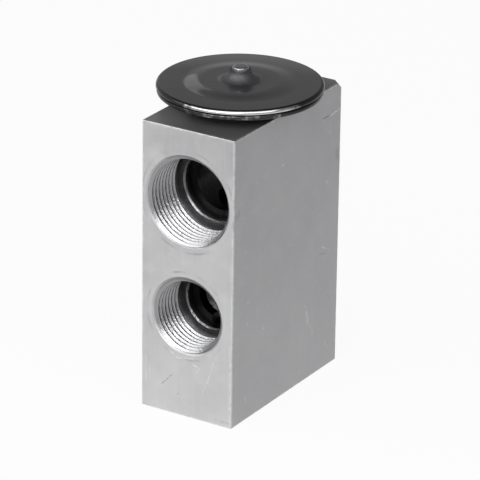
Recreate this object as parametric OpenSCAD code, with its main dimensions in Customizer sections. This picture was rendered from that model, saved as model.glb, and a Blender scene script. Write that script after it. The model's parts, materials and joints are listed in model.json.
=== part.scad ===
// Block type expansion valve with a diaphragm power head.
// Millimetres. Origin at the middle of the block's base, +Z up, front ports towards -Y.

/* [Block] */
// Width of the block, across its narrow port faces
block_w = 27.5; // [27.5:0.5:34]
// Depth of the block, from the front ports to the rear ports
block_d = 52; // [50:0.5:62]
// Height of the block
block_h = 79; // [78.5:0.25:90]
// Chamfer that breaks each long edge of the block
edge_break = 0.25; // [0.1:0.05:0.6]
// Length knocked off the upper rear corner, along the width
knock_x = 2.2; // [1:0.1:3]
// Length knocked off the upper rear corner, along the depth
knock_y = 2.8; // [1:0.1:4]
// Length knocked off the upper rear corner, down the height
knock_z = 1.9; // [1:0.1:3]
// Distance of the stem axis from the middle of the block, towards the front
stem_offset = 1.65; // [0.5:0.05:2.5]

/* [Suction passage] */
// Height of the suction passage above the base
suction_z = 59.6; // [59.2:0.1:60.2]
// Thread diameter of the two suction ports
suction_thread_d = 24; // [22:0.5:24.5]
// Width of the chamfer at the mouth of a suction port
suction_chamfer = 0.5; // [0.3:0.05:1]
// Depth of the threaded socket of a suction port
suction_socket = 13.3; // [11:0.1:13.4]
// Diameter of the step behind the threaded socket
suction_step_d = 19; // [17:0.5:20]
// Length of that step
suction_step = 2.9; // [1.5:0.1:4]
// Diameter of the passage that joins the two suction ports
suction_bore_d = 15; // [13:0.5:16]

/* [Liquid ports] */
// Height of the liquid inlet on the front face
inlet_z = 28.2; // [27.8:0.1:28.6]
// Height of the outlet to the evaporator on the rear face
outlet_z = 33.4; // [33:0.1:33.8]
// Thread diameter of the two liquid ports
liquid_thread_d = 20; // [18:0.5:20.5]
// Width of the chamfer at the mouth of a liquid port
liquid_chamfer = 0.75; // [0.3:0.05:1]
// Depth of the threaded socket of a liquid port
liquid_socket = 12.1; // [10:0.1:12.6]
// Diameter of the step behind the threaded socket
liquid_step_d = 15.4; // [15:0.1:16]
// Length of that step
liquid_step = 2.6; // [1.5:0.1:3]
// Diameter of the blind bore behind the inlet
inlet_bore_d = 11; // [8:0.5:12]
// Length of that blind bore, before its drill point
inlet_bore = 2.8; // [1:0.1:4]
// Diameter of the duct from the inlet to the valve chamber
duct_d = 3.5; // [2.5:0.1:3.6]
// Diameter of the bore from the orifice to the outlet
outlet_bore_d = 8.4; // [7:0.1:9]

/* [Port threads] */
// Pitch of the port threads, which is also the width of the run-out groove
port_pitch = 1.5; // [1:0.25:2]
// Depth of the run-out groove beyond the thread's outer diameter
runout_depth = 0.3; // [0.1:0.05:0.6]
// Chamfer at the edge of the step behind each threaded socket
step_break = 0.4; // [0.2:0.05:0.6]

/* [Valve seat] */
// Diameter of the orifice
orifice_d = 3; // [2.6:0.1:3]
// Length of the orifice, from the outlet bore down to its seat
orifice_len = 3.4; // [2.8:0.1:3.6]
// Diameter of the seat's conical mouth
seat_mouth_d = 6; // [5:0.1:7]
// Diameter of the valve ball
ball_d = 4.5; // [4.3:0.1:5]
// How far the ball can leave its seat
valve_stroke = 0.8; // [0.4:0.05:0.9]

/* [Valve chamber and adjuster] */
// Diameter of the chamber that holds the spring
chamber_d = 12.4; // [12:0.1:12.8]
// Height of the chamber's lower end, where the adjuster thread stops
chamber_z = 8.4; // [8.2:0.1:9]
// Thread diameter of the adjusting screw
adjuster_thread_d = 14; // [13.5:0.1:15]
// Width of the chamfer at the mouth of the adjuster hole
adjuster_chamfer = 0.6; // [0.3:0.1:1]
// How deep the screw lies inside the base at rest
screw_recess = 2; // [1.2:0.1:2.2]
// Length of the screw's threaded part
screw_thread = 5; // [4:0.1:5.2]
// Length of the screw's plain end, which carries the seal
screw_neck = 5; // [4.6:0.1:5.4]
// Width across the flats of the screw's key socket
key_af = 5; // [4:0.5:6]
// Depth of the key socket
key_depth = 4; // [3:0.1:5]
// Wire diameter of the screw's seal ring
screw_seal_wire = 1.3; // [1:0.1:1.5]
// Thickness of the seat plate under the spring
spring_seat_t = 1.2; // [0.8:0.1:1.6]
// Height of the plate's centring boss
spring_seat_boss = 1.2; // [0.8:0.1:2]

/* [Main spring] */
// Wire diameter of the spring
spring_wire = 1; // [0.8:0.05:1.1]
// Mean diameter of the coils
spring_d = 8.4; // [8:0.1:8.6]
// Number of open turns between the closed end turns
spring_turns = 3; // [2:0.5:3.5]

/* [Ball carrier] */
// Diameter of the flange that the spring pushes on
carrier_flange_d = 10; // [9.4:0.1:10.4]
// Thickness of that flange
carrier_flange_t = 1; // [0.8:0.1:1.4]
// Diameter of the cup that holds the ball
carrier_cup_d = 6.6; // [5.8:0.1:7]
// Height of that cup above the flange
carrier_cup = 1.5; // [1.1:0.1:1.7]
// Length of the boss inside the spring
carrier_boss = 1.4; // [0.8:0.1:2]
// Sheet thickness of the damping spring round the carrier
damper_t = 0.25; // [0.2:0.01:0.3]
// Height of the damping spring
damper_h = 2.5; // [1.5:0.1:3]
// Number of its fingers
damper_fingers = 6; // [4:1:8]

/* [Rod and pin] */
// Diameter of the sensing rod
rod_d = 6; // [5:0.1:6.4]
// Diameter of the push pin
pin_d = 2; // [1.6:0.1:2.1]
// How deep the pin sits in the end of the rod
pin_socket = 3; // [2:0.1:4]
// Length of the pin's guide above the outlet bore
pin_guide = 2.8; // [2:0.1:3.2]
// Length of the rod's guide above the pin's guide
rod_guide = 5; // [4:0.1:5.4]
// Diameter of the pocket for the rod's seal
seal_pocket_d = 10.4; // [10:0.1:11]
// Thickness of the washer on the rod's seal
washer_t = 1; // [0.6:0.1:1.2]
// Sheet thickness of the ring that locks the seal in its pocket
lock_t = 0.5; // [0.3:0.05:0.7]

/* [Power head] */
// Outer diameter of the head's rim
rim_d = 43; // [40:0.5:46]
// Height of the rim's underside above the block
rim_lift = 2.85; // [2.3:0.05:3.2]
// Sheet thickness of the head's cover
cover_t = 1.2; // [0.9:0.05:1.4]
// Sheet thickness of the head's base shell
base_t = 1.25; // [1:0.05:1.4]
// Thickness of the diaphragm
diaphragm_t = 0.25; // [0.15:0.01:0.35]
// How much smaller the base shell's rim is than the cover's, on the radius
rim_step = 0.2; // [0.1:0.05:0.4]
// Diameter of the shell's cup, which sits on the block
cup_d = 26.6; // [26:0.1:27]
// Thickness of the cup's floor
cup_floor = 1; // [0.8:0.05:1.1]
// Thread diameter of the head's neck
neck_thread_d = 20; // [19:0.5:20.5]
// Length of the neck inside the block
neck_len = 8.4; // [7:0.1:8.5]
// Bore of the neck
neck_bore_d = 15; // [13:0.5:16]
// Gap between the pressure plate's edge and the cup's wall
plate_gap = 0.55; // [0.2:0.05:2]
// Thickness of the pressure plate
plate_t = 1.7; // [1.4:0.05:1.75]
// Width of the bevel under the plate's edge
plate_bevel = 3; // [1:0.5:4]
// Wire diameter of the seal ring under the cup
head_seal_wire = 1.8; // [1.5:0.1:1.9]

/* [Head cover] */
// Radius of the rim's rolled edge, as a share of the sheet
rim_roll = 0.8; // [0.4:0.05:0.95]
// Height of the cover's crown above its flat rim
crown_rise = 0.55; // [0.4:0.05:1.6]
// Radius at which the crown's slope starts, from inside
crown_in_r = 9.5; // [9:0.5:11]
// Radius at which the crown's slope ends at the flat rim
crown_out_r = 15.5; // [13:0.5:18]
// Height of the boss round the charge plug
boss_rise = 2.6; // [1.5:0.1:3.4]
// Radius of the boss at its top
boss_r = 2.9; // [2.6:0.1:3.2]
// Radius at which the boss starts to rise from the crown
boss_foot_r = 6.2; // [5.5:0.1:7.5]
// Radius of the charge plug's button
button_r = 2.1; // [1.8:0.1:2.4]
// Height of that button above the boss
button_h = 1.1; // [0.7:0.1:1.6]
// Radius of the plug's shank in the cover
shank_r = 1.4; // [1.1:0.1:1.6]

/* [Hidden] */
$fn = 96;

// Clearances. A running fit slides, a seat gap parts two faces that only touch in use
run_gap = 0.05;
seat_gap = 0.03;
seal_gap = 0.08;
// How far a cut reaches past the face that it opens
past = 1;
// Half the tip angle of a drill, and the angle of the ball's conical seats from the axis
drill_half = 59;
cone_half = 45;
// Steps in a quarter of a rounded edge, and in a long sheet bend
edge_steps = 6;
bend_steps = 12;

// Stem stack, from the outlet bore downwards
orifice_top = outlet_z - outlet_bore_d / 2;
seat_z = orifice_top - orifice_len;
cone_apex_z = seat_z + orifice_d / 2 / tan(cone_half);
chamber_top = cone_apex_z - seat_mouth_d / 2 / tan(cone_half);
ball_z = cone_apex_z - ball_d / 2 / sin(cone_half) - seat_gap;
cup_apex_z = ball_z - ball_d / 2 / sin(cone_half) - seat_gap;
cup_top = ball_z - ball_d / 2 * 0.35;
flange_top = cup_top - carrier_cup;
flange_z = flange_top - carrier_flange_t;

// Stem stack, from the outlet bore upwards
pin_guide_z = outlet_z + outlet_bore_d / 2;
rod_guide_z = pin_guide_z + pin_guide;
rod_foot_z = rod_guide_z + valve_stroke + 0.2;
seal_z = rod_guide_z + rod_guide;
seal_wire = (seal_pocket_d - rod_d) / 2 - 2 * seal_gap;
washer_z = seal_z + seal_wire + 2 * seat_gap;
lock_z = washer_z + washer_t;

// Adjuster stack, from the base upwards
chamber_r = chamber_d / 2;
screw_r = adjuster_thread_d / 2 - run_gap;
screw_neck_r = chamber_r - seal_gap;
screw_top = screw_recess + screw_thread + screw_neck;
screw_seal_z = screw_top - 1.8;
screw_groove_r = screw_neck_r - screw_seal_wire;
plate_z = screw_top + seat_gap;
spring_foot = plate_z + spring_seat_t + seat_gap;
spring_head = flange_z - seat_gap;
spring_bore_r = (spring_d - spring_wire) / 2;
spring_boss_r = spring_bore_r - 0.5;

// Head stack, from the top of the block upwards
rim_r = rim_d / 2;
flange_under = block_h + rim_lift;
diaphragm_z = flange_under + base_t;
cover_z = diaphragm_z + diaphragm_t;
rim_top = cover_z + cover_t;
crown_top = rim_top + crown_rise;
boss_top = crown_top + boss_rise;
rod_top = diaphragm_z - seat_gap - plate_t;
cup_in_r = cup_d / 2 - base_t;
plate_r = cup_in_r - plate_gap;
seal_groove_r = neck_thread_d / 2 + head_seal_wire + 2 * seal_gap;
seal_groove = head_seal_wire + seat_gap;
neck_r = neck_thread_d / 2 - run_gap;

// Points along an arc, from one angle to another
function arc(centre, radius, from, to, steps = edge_steps) =
    [for (i = [0 : steps]) let (a = from + (to - from) * i / steps)
        centre + radius * [cos(a), sin(a)]];

// Points of a smooth S between two points, as a pressed sheet bends
function s_bend(start, end, steps = bend_steps) =
    [for (i = [0 : steps]) let (t = i / steps)
        [start.x + (end.x - start.x) * t, start.y + (end.y - start.y) * (1 - cos(180 * t)) / 2]];

// Points of a concave flare from a flat foot up to a steep lip
function flare(foot, lip, steps = bend_steps) =
    [for (i = [0 : steps]) let (a = 90 * i / steps)
        [foot.x + (lip.x - foot.x) * sin(a), foot.y + (lip.y - foot.y) * (1 - cos(a))]];

// The same profile points, moved along the axis
function shifted(points, z) = [for (p = points) [p.x, p.y + z]];

function reversed(points) = [for (i = [len(points) - 1 : -1 : 0]) points[i]];

// A turned solid from its half section
module turned(points) rotate_extrude() polygon(points);

// Children on the stem axis, at a height
module on_stem(z = 0) translate([0, -stem_offset, z]) children();

// A plain ring between two radii
module ring(inner_r, outer_r, height) difference() {
    cylinder(r = outer_r, h = height);
    translate([0, 0, -past]) cylinder(r = inner_r, h = height + 2 * past);
}

// A round seal ring, standing on z = 0
module seal_ring(inner_r, wire)
    rotate_extrude() translate([inner_r + wire / 2, wire / 2]) circle(d = wire, $fn = 32);

// Octagon that gives a box its broken edges
function broken_square(w, h, c) = [[-w / 2 + c, -h / 2], [w / 2 - c, -h / 2], [w / 2, -h / 2 + c],
    [w / 2, h / 2 - c], [w / 2 - c, h / 2], [-w / 2 + c, h / 2], [-w / 2, h / 2 - c],
    [-w / 2, -h / 2 + c]];

// A box centred on the origin with all its edges broken
module broken_box(w, d, h, c) intersection() {
    linear_extrude(h, center = true) polygon(broken_square(w, d, c));
    rotate([90, 0, 0]) linear_extrude(d, center = true) polygon(broken_square(w, h, c));
    rotate([90, 0, 90]) linear_extrude(w, center = true) polygon(broken_square(d, h, c));
}

// Cut for a threaded port, going in along +Z from its face at z = 0
module port_cut(thread_d, chamfer, socket, step_d, step) {
    wall = thread_d / 2;
    groove = wall + runout_depth;
    turned([[0, -past], [wall + chamfer + past, -past], [wall, chamfer], [wall, socket - port_pitch],
        [groove, socket - port_pitch + runout_depth], [groove, socket],
        [step_d / 2 + step_break, socket], [step_d / 2, socket + step_break],
        [step_d / 2, socket + step], [0, socket + step]]);
}

// A place on the front face, looking in, and the same on the rear face
module from_front(z) translate([0, -block_d / 2, z]) rotate([-90, 0, 0]) children();
module from_rear(z) translate([0, block_d / 2, z]) rotate([90, 0, 0]) children();

// Suction ports front and rear, and the passage that joins them
module suction_cuts() {
    from_front(suction_z)
        port_cut(suction_thread_d, suction_chamfer, suction_socket, suction_step_d, suction_step);
    from_rear(suction_z)
        port_cut(suction_thread_d, suction_chamfer, suction_socket, suction_step_d, suction_step);
    from_front(suction_z) translate([0, 0, suction_socket])
        cylinder(d = suction_bore_d, h = block_d - 2 * suction_socket);
}

// Liquid inlet: socket, blind bore with its drill point, and the duct to the chamber
module inlet_cuts() from_front(inlet_z) {
    bore_r = inlet_bore_d / 2;
    floor = liquid_socket + liquid_step;
    port_cut(liquid_thread_d, liquid_chamfer, liquid_socket, liquid_step_d, liquid_step);
    turned([[0, floor - past], [bore_r, floor - past], [bore_r, floor + inlet_bore],
        [0, floor + inlet_bore + bore_r / tan(drill_half)]]);
    translate([0, (liquid_step_d - duct_d) / 2 - 0.1, liquid_socket])
        cylinder(d = duct_d, h = block_d / 2 - stem_offset - liquid_socket);
}

// Outlet on the rear face, with the bore that reaches the top of the orifice
module outlet_cuts() from_rear(outlet_z) {
    port_cut(liquid_thread_d, liquid_chamfer, liquid_socket, liquid_step_d, liquid_step);
    translate([0, 0, liquid_socket])
        cylinder(d = outlet_bore_d, h = block_d / 2 + stem_offset + orifice_d - liquid_socket);
}

// Head socket, bore to the suction passage, seal pocket and guides, cut from above
module upper_stem_cuts() on_stem() {
    translate([0, 0, block_h - seal_groove]) cylinder(r = seal_groove_r, h = seal_groove + past);
    translate([0, 0, block_h - neck_len - 0.1])
        cylinder(d = neck_thread_d, h = neck_len + past);
    translate([0, 0, suction_z]) cylinder(d = neck_bore_d, h = block_h - suction_z);
    translate([0, 0, seal_z]) cylinder(d = seal_pocket_d, h = suction_z - seal_z);
    translate([0, 0, rod_guide_z]) cylinder(r = rod_d / 2 + run_gap, h = suction_z - rod_guide_z);
    translate([0, 0, outlet_z]) cylinder(r = pin_d / 2 + run_gap, h = suction_z - outlet_z);
}

// Orifice, ball seat, valve chamber and adjuster thread, cut from below
module lower_stem_cuts() on_stem() {
    thread_r = adjuster_thread_d / 2;
    orifice_r = orifice_d / 2;
    turned([[0, -past], [thread_r + adjuster_chamfer + past, -past], [thread_r, adjuster_chamfer],
        [thread_r, chamber_z - (thread_r - chamber_r)], [chamber_r, chamber_z],
        [chamber_r, chamber_top], [seat_mouth_d / 2, chamber_top], [orifice_r, seat_z],
        [orifice_r, outlet_z], [0, outlet_z]]);
}

// The corner that a knock has broken off, with three points of its cut face past the block
module knocked_corner() translate([block_w / 2, block_d / 2, block_h]) {
    knock = [knock_x, knock_y, knock_z];
    spread = 0.5;
    tip = function (i) [for (k = [0 : 2]) knock[k] * (k == i ? -1 - 2 * spread : spread)];
    polyhedron([knock, tip(0), tip(1), tip(2)], [[0, 1, 2], [0, 2, 3], [0, 3, 1], [1, 3, 2]]);
}

// Solid block with its four ports, its passages and its stem bores
module valve_block() color("silver") difference() {
    translate([0, 0, block_h / 2]) broken_box(block_w, block_d, block_h, edge_break);
    suction_cuts();
    inlet_cuts();
    outlet_cuts();
    upper_stem_cuts();
    lower_stem_cuts();
    knocked_corner();
}

// Upper line of the cover, from the plug's hole out to the start of the rounded rim
function cover_line() = concat(
    reversed(flare([boss_foot_r, crown_top], [boss_r, boss_top])),
    s_bend([crown_in_r, crown_top], [crown_out_r, rim_top]));

// Pressed cover: flat rim with a rolled edge, low crown and the boss round the plug
module head_cover() color("dimgray") on_stem() {
    roll = cover_t * rim_roll;
    turned(concat([[shank_r, boss_top]], cover_line(),
        arc([rim_r - roll, rim_top - roll], roll, 90, 0),
        [[rim_r, rim_top - roll], [rim_r - (cover_t - roll), cover_z], [crown_out_r, cover_z]],
        reversed(s_bend([crown_in_r, crown_top - cover_t], [crown_out_r, cover_z])),
        [[shank_r, crown_top - cover_t]]));
}

// Lower shell: rim flange, cup that stands on the block and threaded neck in one piece
module head_base() color("gray") on_stem() {
    edge = base_t * 0.35;
    outer = rim_r - rim_step;
    cup_r = cup_d / 2;
    turned(concat([[neck_bore_d / 2, block_h - neck_len], [neck_r - 0.5, block_h - neck_len],
        [neck_r, block_h - neck_len + 0.5], [neck_r, block_h], [cup_r, block_h]],
        arc([cup_r + base_t, flange_under - base_t], base_t, 180, 90),
        arc([outer - edge, flange_under + edge], edge, -90, 0),
        [[outer, diaphragm_z - edge], [outer - edge, diaphragm_z]],
        arc([cup_in_r + base_t, diaphragm_z - base_t], base_t, 90, 180),
        [[cup_in_r, block_h + cup_floor], [neck_bore_d / 2, block_h + cup_floor]]));
}

// Thin diaphragm, clamped at the rim between cover and base
module diaphragm() color("lightgray") on_stem(diaphragm_z)
    cylinder(r = rim_r - rim_step - cover_t, h = diaphragm_t);

// Pressure plate that carries the diaphragm's push to the rod
module diaphragm_plate() color("darkgray") on_stem(rod_top) turned([[0, 0], [plate_r - plate_bevel, 0],
    [plate_r, plate_t / 2], [plate_r, plate_t], [0, plate_t]]);

// Plug that closes the charge hole: shank in the cover and a rounded button above it
module charge_plug() color("dimgray") on_stem() {
    edge = button_h * 0.6;
    turned(concat([[0, crown_top - cover_t], [shank_r, crown_top - cover_t], [shank_r, boss_top],
        [button_r, boss_top]],
        arc([button_r - edge, boss_top + button_h - edge], edge, 0, 90),
        [[0, boss_top + button_h]]));
}

module head_seal() color("#202020") on_stem(block_h - seal_groove)
    seal_ring(neck_thread_d / 2 + seal_gap, head_seal_wire);

// Rod between the plate and the pin, with the pin's socket in its foot
module sensing_rod() color("silver") on_stem() difference() {
    turned([[0, rod_foot_z], [rod_d / 2 - 0.4, rod_foot_z], [rod_d / 2, rod_foot_z + 0.4],
        [rod_d / 2, rod_top], [0, rod_top]]);
    translate([0, 0, rod_foot_z - past]) cylinder(d = pin_d, h = past + pin_socket);
}

module rod_seal() color("#202020") on_stem(seal_z)
    seal_ring(rod_d / 2 + seal_gap, seal_wire);

module seal_washer() color("whitesmoke") on_stem(washer_z)
    ring(rod_d / 2 + seal_gap, seal_pocket_d / 2 - seal_gap, washer_t);

// Locking ring: a sheet ring whose outer edge is notched into teeth
module lock_ring() color("goldenrod") on_stem(lock_z) difference() {
    ring(rod_d / 2 + 2 * seal_gap, seal_pocket_d / 2, lock_t);
    for (i = [0 : 7]) rotate(i * 45)
        translate([seal_pocket_d / 2, 0, -past]) cylinder(d = 1.4, h = lock_t + 2 * past);
}

// Pin from the rod's socket down through the orifice to the ball
module push_pin() color("lightsteelblue") on_stem(ball_z + ball_d / 2 + seat_gap)
    cylinder(d = pin_d, h = rod_foot_z + pin_socket - (ball_z + ball_d / 2 + seat_gap));

module valve_ball() color("lightsteelblue") on_stem(ball_z) sphere(d = ball_d);

// Carrier: cup for the ball, flange for the spring and a boss inside its coils
module ball_carrier() color("khaki") on_stem() {
    cup_mouth = (cup_top - cup_apex_z) * tan(cone_half);
    turned([[0, flange_z - carrier_boss], [spring_boss_r, flange_z - carrier_boss],
        [spring_boss_r, flange_z], [carrier_flange_d / 2, flange_z],
        [carrier_flange_d / 2, flange_top], [carrier_cup_d / 2, flange_top],
        [carrier_cup_d / 2, cup_top], [cup_mouth, cup_top], [0, cup_apex_z]]);
}

// Damping spring: a sheet ring on the carrier with fingers that rub the chamber wall
module damping_spring() color("lightsteelblue") on_stem(flange_top) {
    root = carrier_flange_d / 2 + damper_t + run_gap;
    tip = chamber_r - seal_gap;
    difference() {
        turned([[carrier_cup_d / 2 + run_gap, 0], [root - damper_t, 0],
            [tip - damper_t, damper_t - damper_h], [tip, damper_t - damper_h], [root, damper_t],
            [carrier_cup_d / 2 + run_gap, damper_t]]);
        for (i = [0 : damper_fingers - 1]) rotate(i * 360 / damper_fingers)
            translate([root - damper_t / 2, -0.8, -damper_h]) cube([past + tip, 1.6, damper_h]);
    }
}

// Height along the spring's wire after some turns, with closed turns at both ends
function coil_height(turn, open_turns, rise, close_pitch) =
    let (end = open_turns + 2, open_pitch = (rise - 2 * close_pitch) / open_turns)
    turn < 1 ? turn * close_pitch
    : turn > end - 1 ? rise - (end - turn) * close_pitch
    : close_pitch + (turn - 1) * open_pitch;

// Compression spring, as a round wire swept along its helix
module main_spring() color("gainsboro") on_stem(spring_foot) {
    sides = 10;
    per_turn = 20;
    rise = spring_head - spring_foot - spring_wire;
    rings = (spring_turns + 2) * per_turn;
    points = [for (i = [0 : rings], j = [0 : sides - 1])
        let (turn = i / per_turn, a = 360 * turn, b = 360 * j / sides,
            r = spring_d / 2 + spring_wire / 2 * cos(b))
        [r * cos(a), r * sin(a), spring_wire / 2 * (1 + sin(b))
            + coil_height(turn, spring_turns, rise, spring_wire * 1.08)]];
    walls = [for (i = [0 : rings - 1], j = [0 : sides - 1])
        let (k = (j + 1) % sides)
        [i * sides + j, i * sides + k, (i + 1) * sides + k, (i + 1) * sides + j]];
    polyhedron(points, concat(walls, [[for (j = [sides - 1 : -1 : 0]) j]],
        [[for (j = [0 : sides - 1]) rings * sides + j]]));
}

// Plate that lets the screw turn without winding up the spring
module spring_seat() color("khaki") on_stem(plate_z) {
    cylinder(r = chamber_r - 1, h = spring_seat_t);
    cylinder(r = spring_boss_r, h = spring_seat_t + spring_seat_boss);
}

// Adjusting screw: threaded head with a key socket, and a plain end with a seal groove
module adjusting_screw() color("tan") on_stem() {
    shoulder = screw_recess + screw_thread;
    groove = screw_seal_wire / 2 + run_gap;
    difference() {
        turned([[0, screw_recess], [screw_r - 0.5, screw_recess], [screw_r, screw_recess + 0.5],
            [screw_r, shoulder - 0.5], [screw_r - 0.5, shoulder], [screw_neck_r, shoulder],
            [screw_neck_r, screw_seal_z - groove], [screw_groove_r, screw_seal_z - groove],
            [screw_groove_r, screw_seal_z + groove], [screw_neck_r, screw_seal_z + groove],
            [screw_neck_r, screw_top], [0, screw_top]]);
        translate([0, 0, screw_recess - past])
            cylinder(r = key_af / 2 / cos(30), h = past + key_depth, $fn = 6);
    }
}

module screw_seal() color("#202020") on_stem(screw_seal_z - screw_seal_wire / 2)
    seal_ring(screw_groove_r, screw_seal_wire);

valve_block();
head_cover();
head_base();
diaphragm();
diaphragm_plate();
charge_plug();
head_seal();
sensing_rod();
rod_seal();
seal_washer();
lock_ring();
push_pin();
valve_ball();
ball_carrier();
damping_spring();
main_spring();
spring_seat();
adjusting_screw();
screw_seal();
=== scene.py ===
"""Looks of a block type expansion valve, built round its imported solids.

Lengths in the dataclasses are millimetres, and every mesh is made in metres in the part's own frame:
+Z up the stem, -Y out of the front face, origin in the middle of the block's base.
"""

from __future__ import annotations

import json
import logging
import math
from collections.abc import Callable, Iterable, Mapping, Sequence
from dataclasses import dataclass, field
from enum import Enum

import bmesh
import bpy
from mathutils import Matrix, Vector

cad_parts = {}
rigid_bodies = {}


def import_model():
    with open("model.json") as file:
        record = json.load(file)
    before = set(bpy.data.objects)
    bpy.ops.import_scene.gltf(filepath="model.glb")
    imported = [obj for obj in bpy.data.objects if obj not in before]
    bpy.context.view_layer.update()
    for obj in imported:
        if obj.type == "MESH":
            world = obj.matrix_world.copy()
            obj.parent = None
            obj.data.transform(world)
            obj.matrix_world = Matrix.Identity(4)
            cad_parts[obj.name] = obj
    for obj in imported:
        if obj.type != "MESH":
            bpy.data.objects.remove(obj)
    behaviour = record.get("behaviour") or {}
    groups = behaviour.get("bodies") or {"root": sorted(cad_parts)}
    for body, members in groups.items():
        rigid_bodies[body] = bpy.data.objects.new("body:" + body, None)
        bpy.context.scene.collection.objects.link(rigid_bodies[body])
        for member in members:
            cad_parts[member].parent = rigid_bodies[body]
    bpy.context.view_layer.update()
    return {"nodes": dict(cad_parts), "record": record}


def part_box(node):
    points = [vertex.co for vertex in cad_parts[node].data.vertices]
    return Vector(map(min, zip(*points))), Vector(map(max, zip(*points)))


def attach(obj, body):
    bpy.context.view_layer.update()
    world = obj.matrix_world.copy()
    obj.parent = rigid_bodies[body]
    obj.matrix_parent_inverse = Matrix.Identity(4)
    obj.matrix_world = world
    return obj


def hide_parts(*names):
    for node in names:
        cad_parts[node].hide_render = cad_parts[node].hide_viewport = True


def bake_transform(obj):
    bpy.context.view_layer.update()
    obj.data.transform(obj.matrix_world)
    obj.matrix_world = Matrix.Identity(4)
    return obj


for leftover in list(bpy.data.objects):
    bpy.data.objects.remove(leftover, do_unlink=True)

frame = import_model()

LOG = logging.getLogger("expansion_valve")
MM = 0.001
SAME = 0.0005 * MM  # Points of a solid's mesh that lie closer than this are one point
SEAM_BELOW = 0.02  # How far under the cover's lowest point the shell's painted shade starts, in mm

Point = tuple[float, float]
Socket = bpy.types.NodeSocket


class Face(Enum):
    """A worked side of the block, by the way that it looks."""

    FRONT = (0.0, -1.0, 0.0)
    REAR = (0.0, 1.0, 0.0)
    RIGHT = (1.0, 0.0, 0.0)


class Tone(Enum):
    """How a mark on the metal reads, bare and bright or dirty: its colour, and how far that goes."""

    LIGHT = ("#EAEAEA", 0.8)
    DARK = ("#5E5E60", 0.9)


def linear(code: str) -> tuple[float, float, float, float]:
    """Turns an sRGB hex colour into linear RGBA.

    Args:
        code: The colour as "#RRGGBB".

    Returns:
        Red, green, blue and alpha, linear.
    """
    parts = [int(code[i:i + 2], 16) / 255 for i in (1, 3, 5)]
    red, green, blue = (c / 12.92 if c <= 0.04045 else ((c + 0.055) / 1.055) ** 2.4 for c in parts)
    return red, green, blue, 1.0


def per_mm(size: float) -> float:
    """Gives the texture scale at which one repeat measures size millimetres in Object coordinates."""
    return 1.0 / (size * MM)


def socket_of(sockets: Iterable[Socket], key: str) -> Socket:
    """Finds a socket by its identifier, which is unique where names repeat.

    Args:
        sockets: The inputs or outputs of a node.
        key: The identifier, such as "Value_001" or "A_Color".

    Returns:
        The socket.
    """
    return next(s for s in sockets if s.identifier == key)


def join(tree: bpy.types.NodeTree, source: object, target: Socket) -> None:
    """Links a source to an input, or sets the input where the source is a plain value.

    Args:
        tree: The tree that holds the input.
        source: A value, a socket or a node. A node stands for its first output that is in use.
        target: The input.
    """
    if isinstance(source, bpy.types.Node):
        source = next(output for output in source.outputs if output.enabled)
    if isinstance(source, bpy.types.NodeSocket):
        tree.links.new(source, target)
    else:
        target.default_value = source


def add(
    tree: bpy.types.NodeTree, kind: str, inputs: Mapping[str, object] | Sequence[object] = (),
    **settings: object
) -> bpy.types.Node:
    """Adds a node, sets its options, and fills or links its inputs.

    Args:
        tree: The shader, world or geometry tree.
        kind: The node's type name, where a shader node's goes without "ShaderNode" in front. An operation may
            follow it, as in "Math.MULTIPLY".
        inputs: Sources for join(), by input identifier or in the inputs' own order.
        settings: The node's own options.

    Returns:
        The new node.
    """
    kind, _, operation = kind.partition(".")
    node = tree.nodes.new(kind if "Node" in kind else f"ShaderNode{kind}")
    if operation:
        node.operation = operation
    for option, value in settings.items():
        setattr(node, option, value)
    if not isinstance(inputs, Mapping):
        inputs = {target.identifier: value for target, value in zip(node.inputs, inputs)}
    for key, value in inputs.items():
        join(tree, value, socket_of(node.inputs, key))
    return node


def emptied(owner: bpy.types.Material | bpy.types.World) -> bpy.types.NodeTree:
    """Turns on the nodes of a material or world and takes out the ones that it comes with.

    Args:
        owner: The material or world.

    Returns:
        Its empty tree.
    """
    owner.use_nodes = True
    owner.node_tree.nodes.clear()
    return owner.node_tree


def patches(
    tree: bpy.types.NodeTree, place: object, size: float, low: float, high: float, detail: float = 3.0
) -> bpy.types.Node:
    """Gives a mask of soft patches: a noise with its middle range stretched from 0 to 1.

    Args:
        tree: The material's tree.
        place: Coordinates in metres.
        size: Size of the patches in mm.
        low: Noise value that becomes 0.
        high: Noise value that becomes 1.
        detail: Octaves.

    Returns:
        The node that gives the mask.
    """
    grain = add(tree, "TexNoise", {"Vector": place, "Scale": per_mm(size), "Detail": detail})
    return add(tree, "MapRange", (grain, low, high))


def total(tree: bpy.types.NodeTree, operation: str, masks: Sequence[object]) -> object:
    """Joins masks pair by pair with one arithmetic operation.

    Args:
        tree: The material's tree.
        operation: The operation, such as ADD or MAXIMUM.
        masks: The masks, as nodes or sockets.

    Returns:
        The node that gives the whole, or the mask itself where there is only one.
    """
    joined = masks[0]
    for mask in masks[1:]:
        joined = add(tree, f"Math.{operation}", (joined, mask))
    return joined


@dataclass(frozen=True)
class Mark:
    """A scratch, nick or scuff on one face of the block.

    Attributes:
        face: The face that carries it.
        start: One end, across the face and up it, in mm.
        end: The other end.
        width: Its width in mm.
        tone: Bright or dark.
        strength: How strongly it shows, up to 1.
        soft: Share of the width over which its edge fades.
    """

    face: Face
    start: Point
    end: Point
    width: float
    tone: Tone
    strength: float = 1.0
    soft: float = 0.6

    def place(self, across_up: Point, half: Vector) -> Vector:
        """Puts a point of the mark on its face.

        Args:
            across_up: The point in the face's own two directions, in mm.
            half: Half the block's width and depth, in metres.

        Returns:
            The point in the part's frame, in metres.
        """
        across, up = (value * MM for value in across_up)
        normal = Vector(self.face.value)
        if abs(normal.y) > 0.5:
            return Vector((across, normal.y * half.y, up))
        return Vector((normal.x * half.x, across, up))


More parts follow.
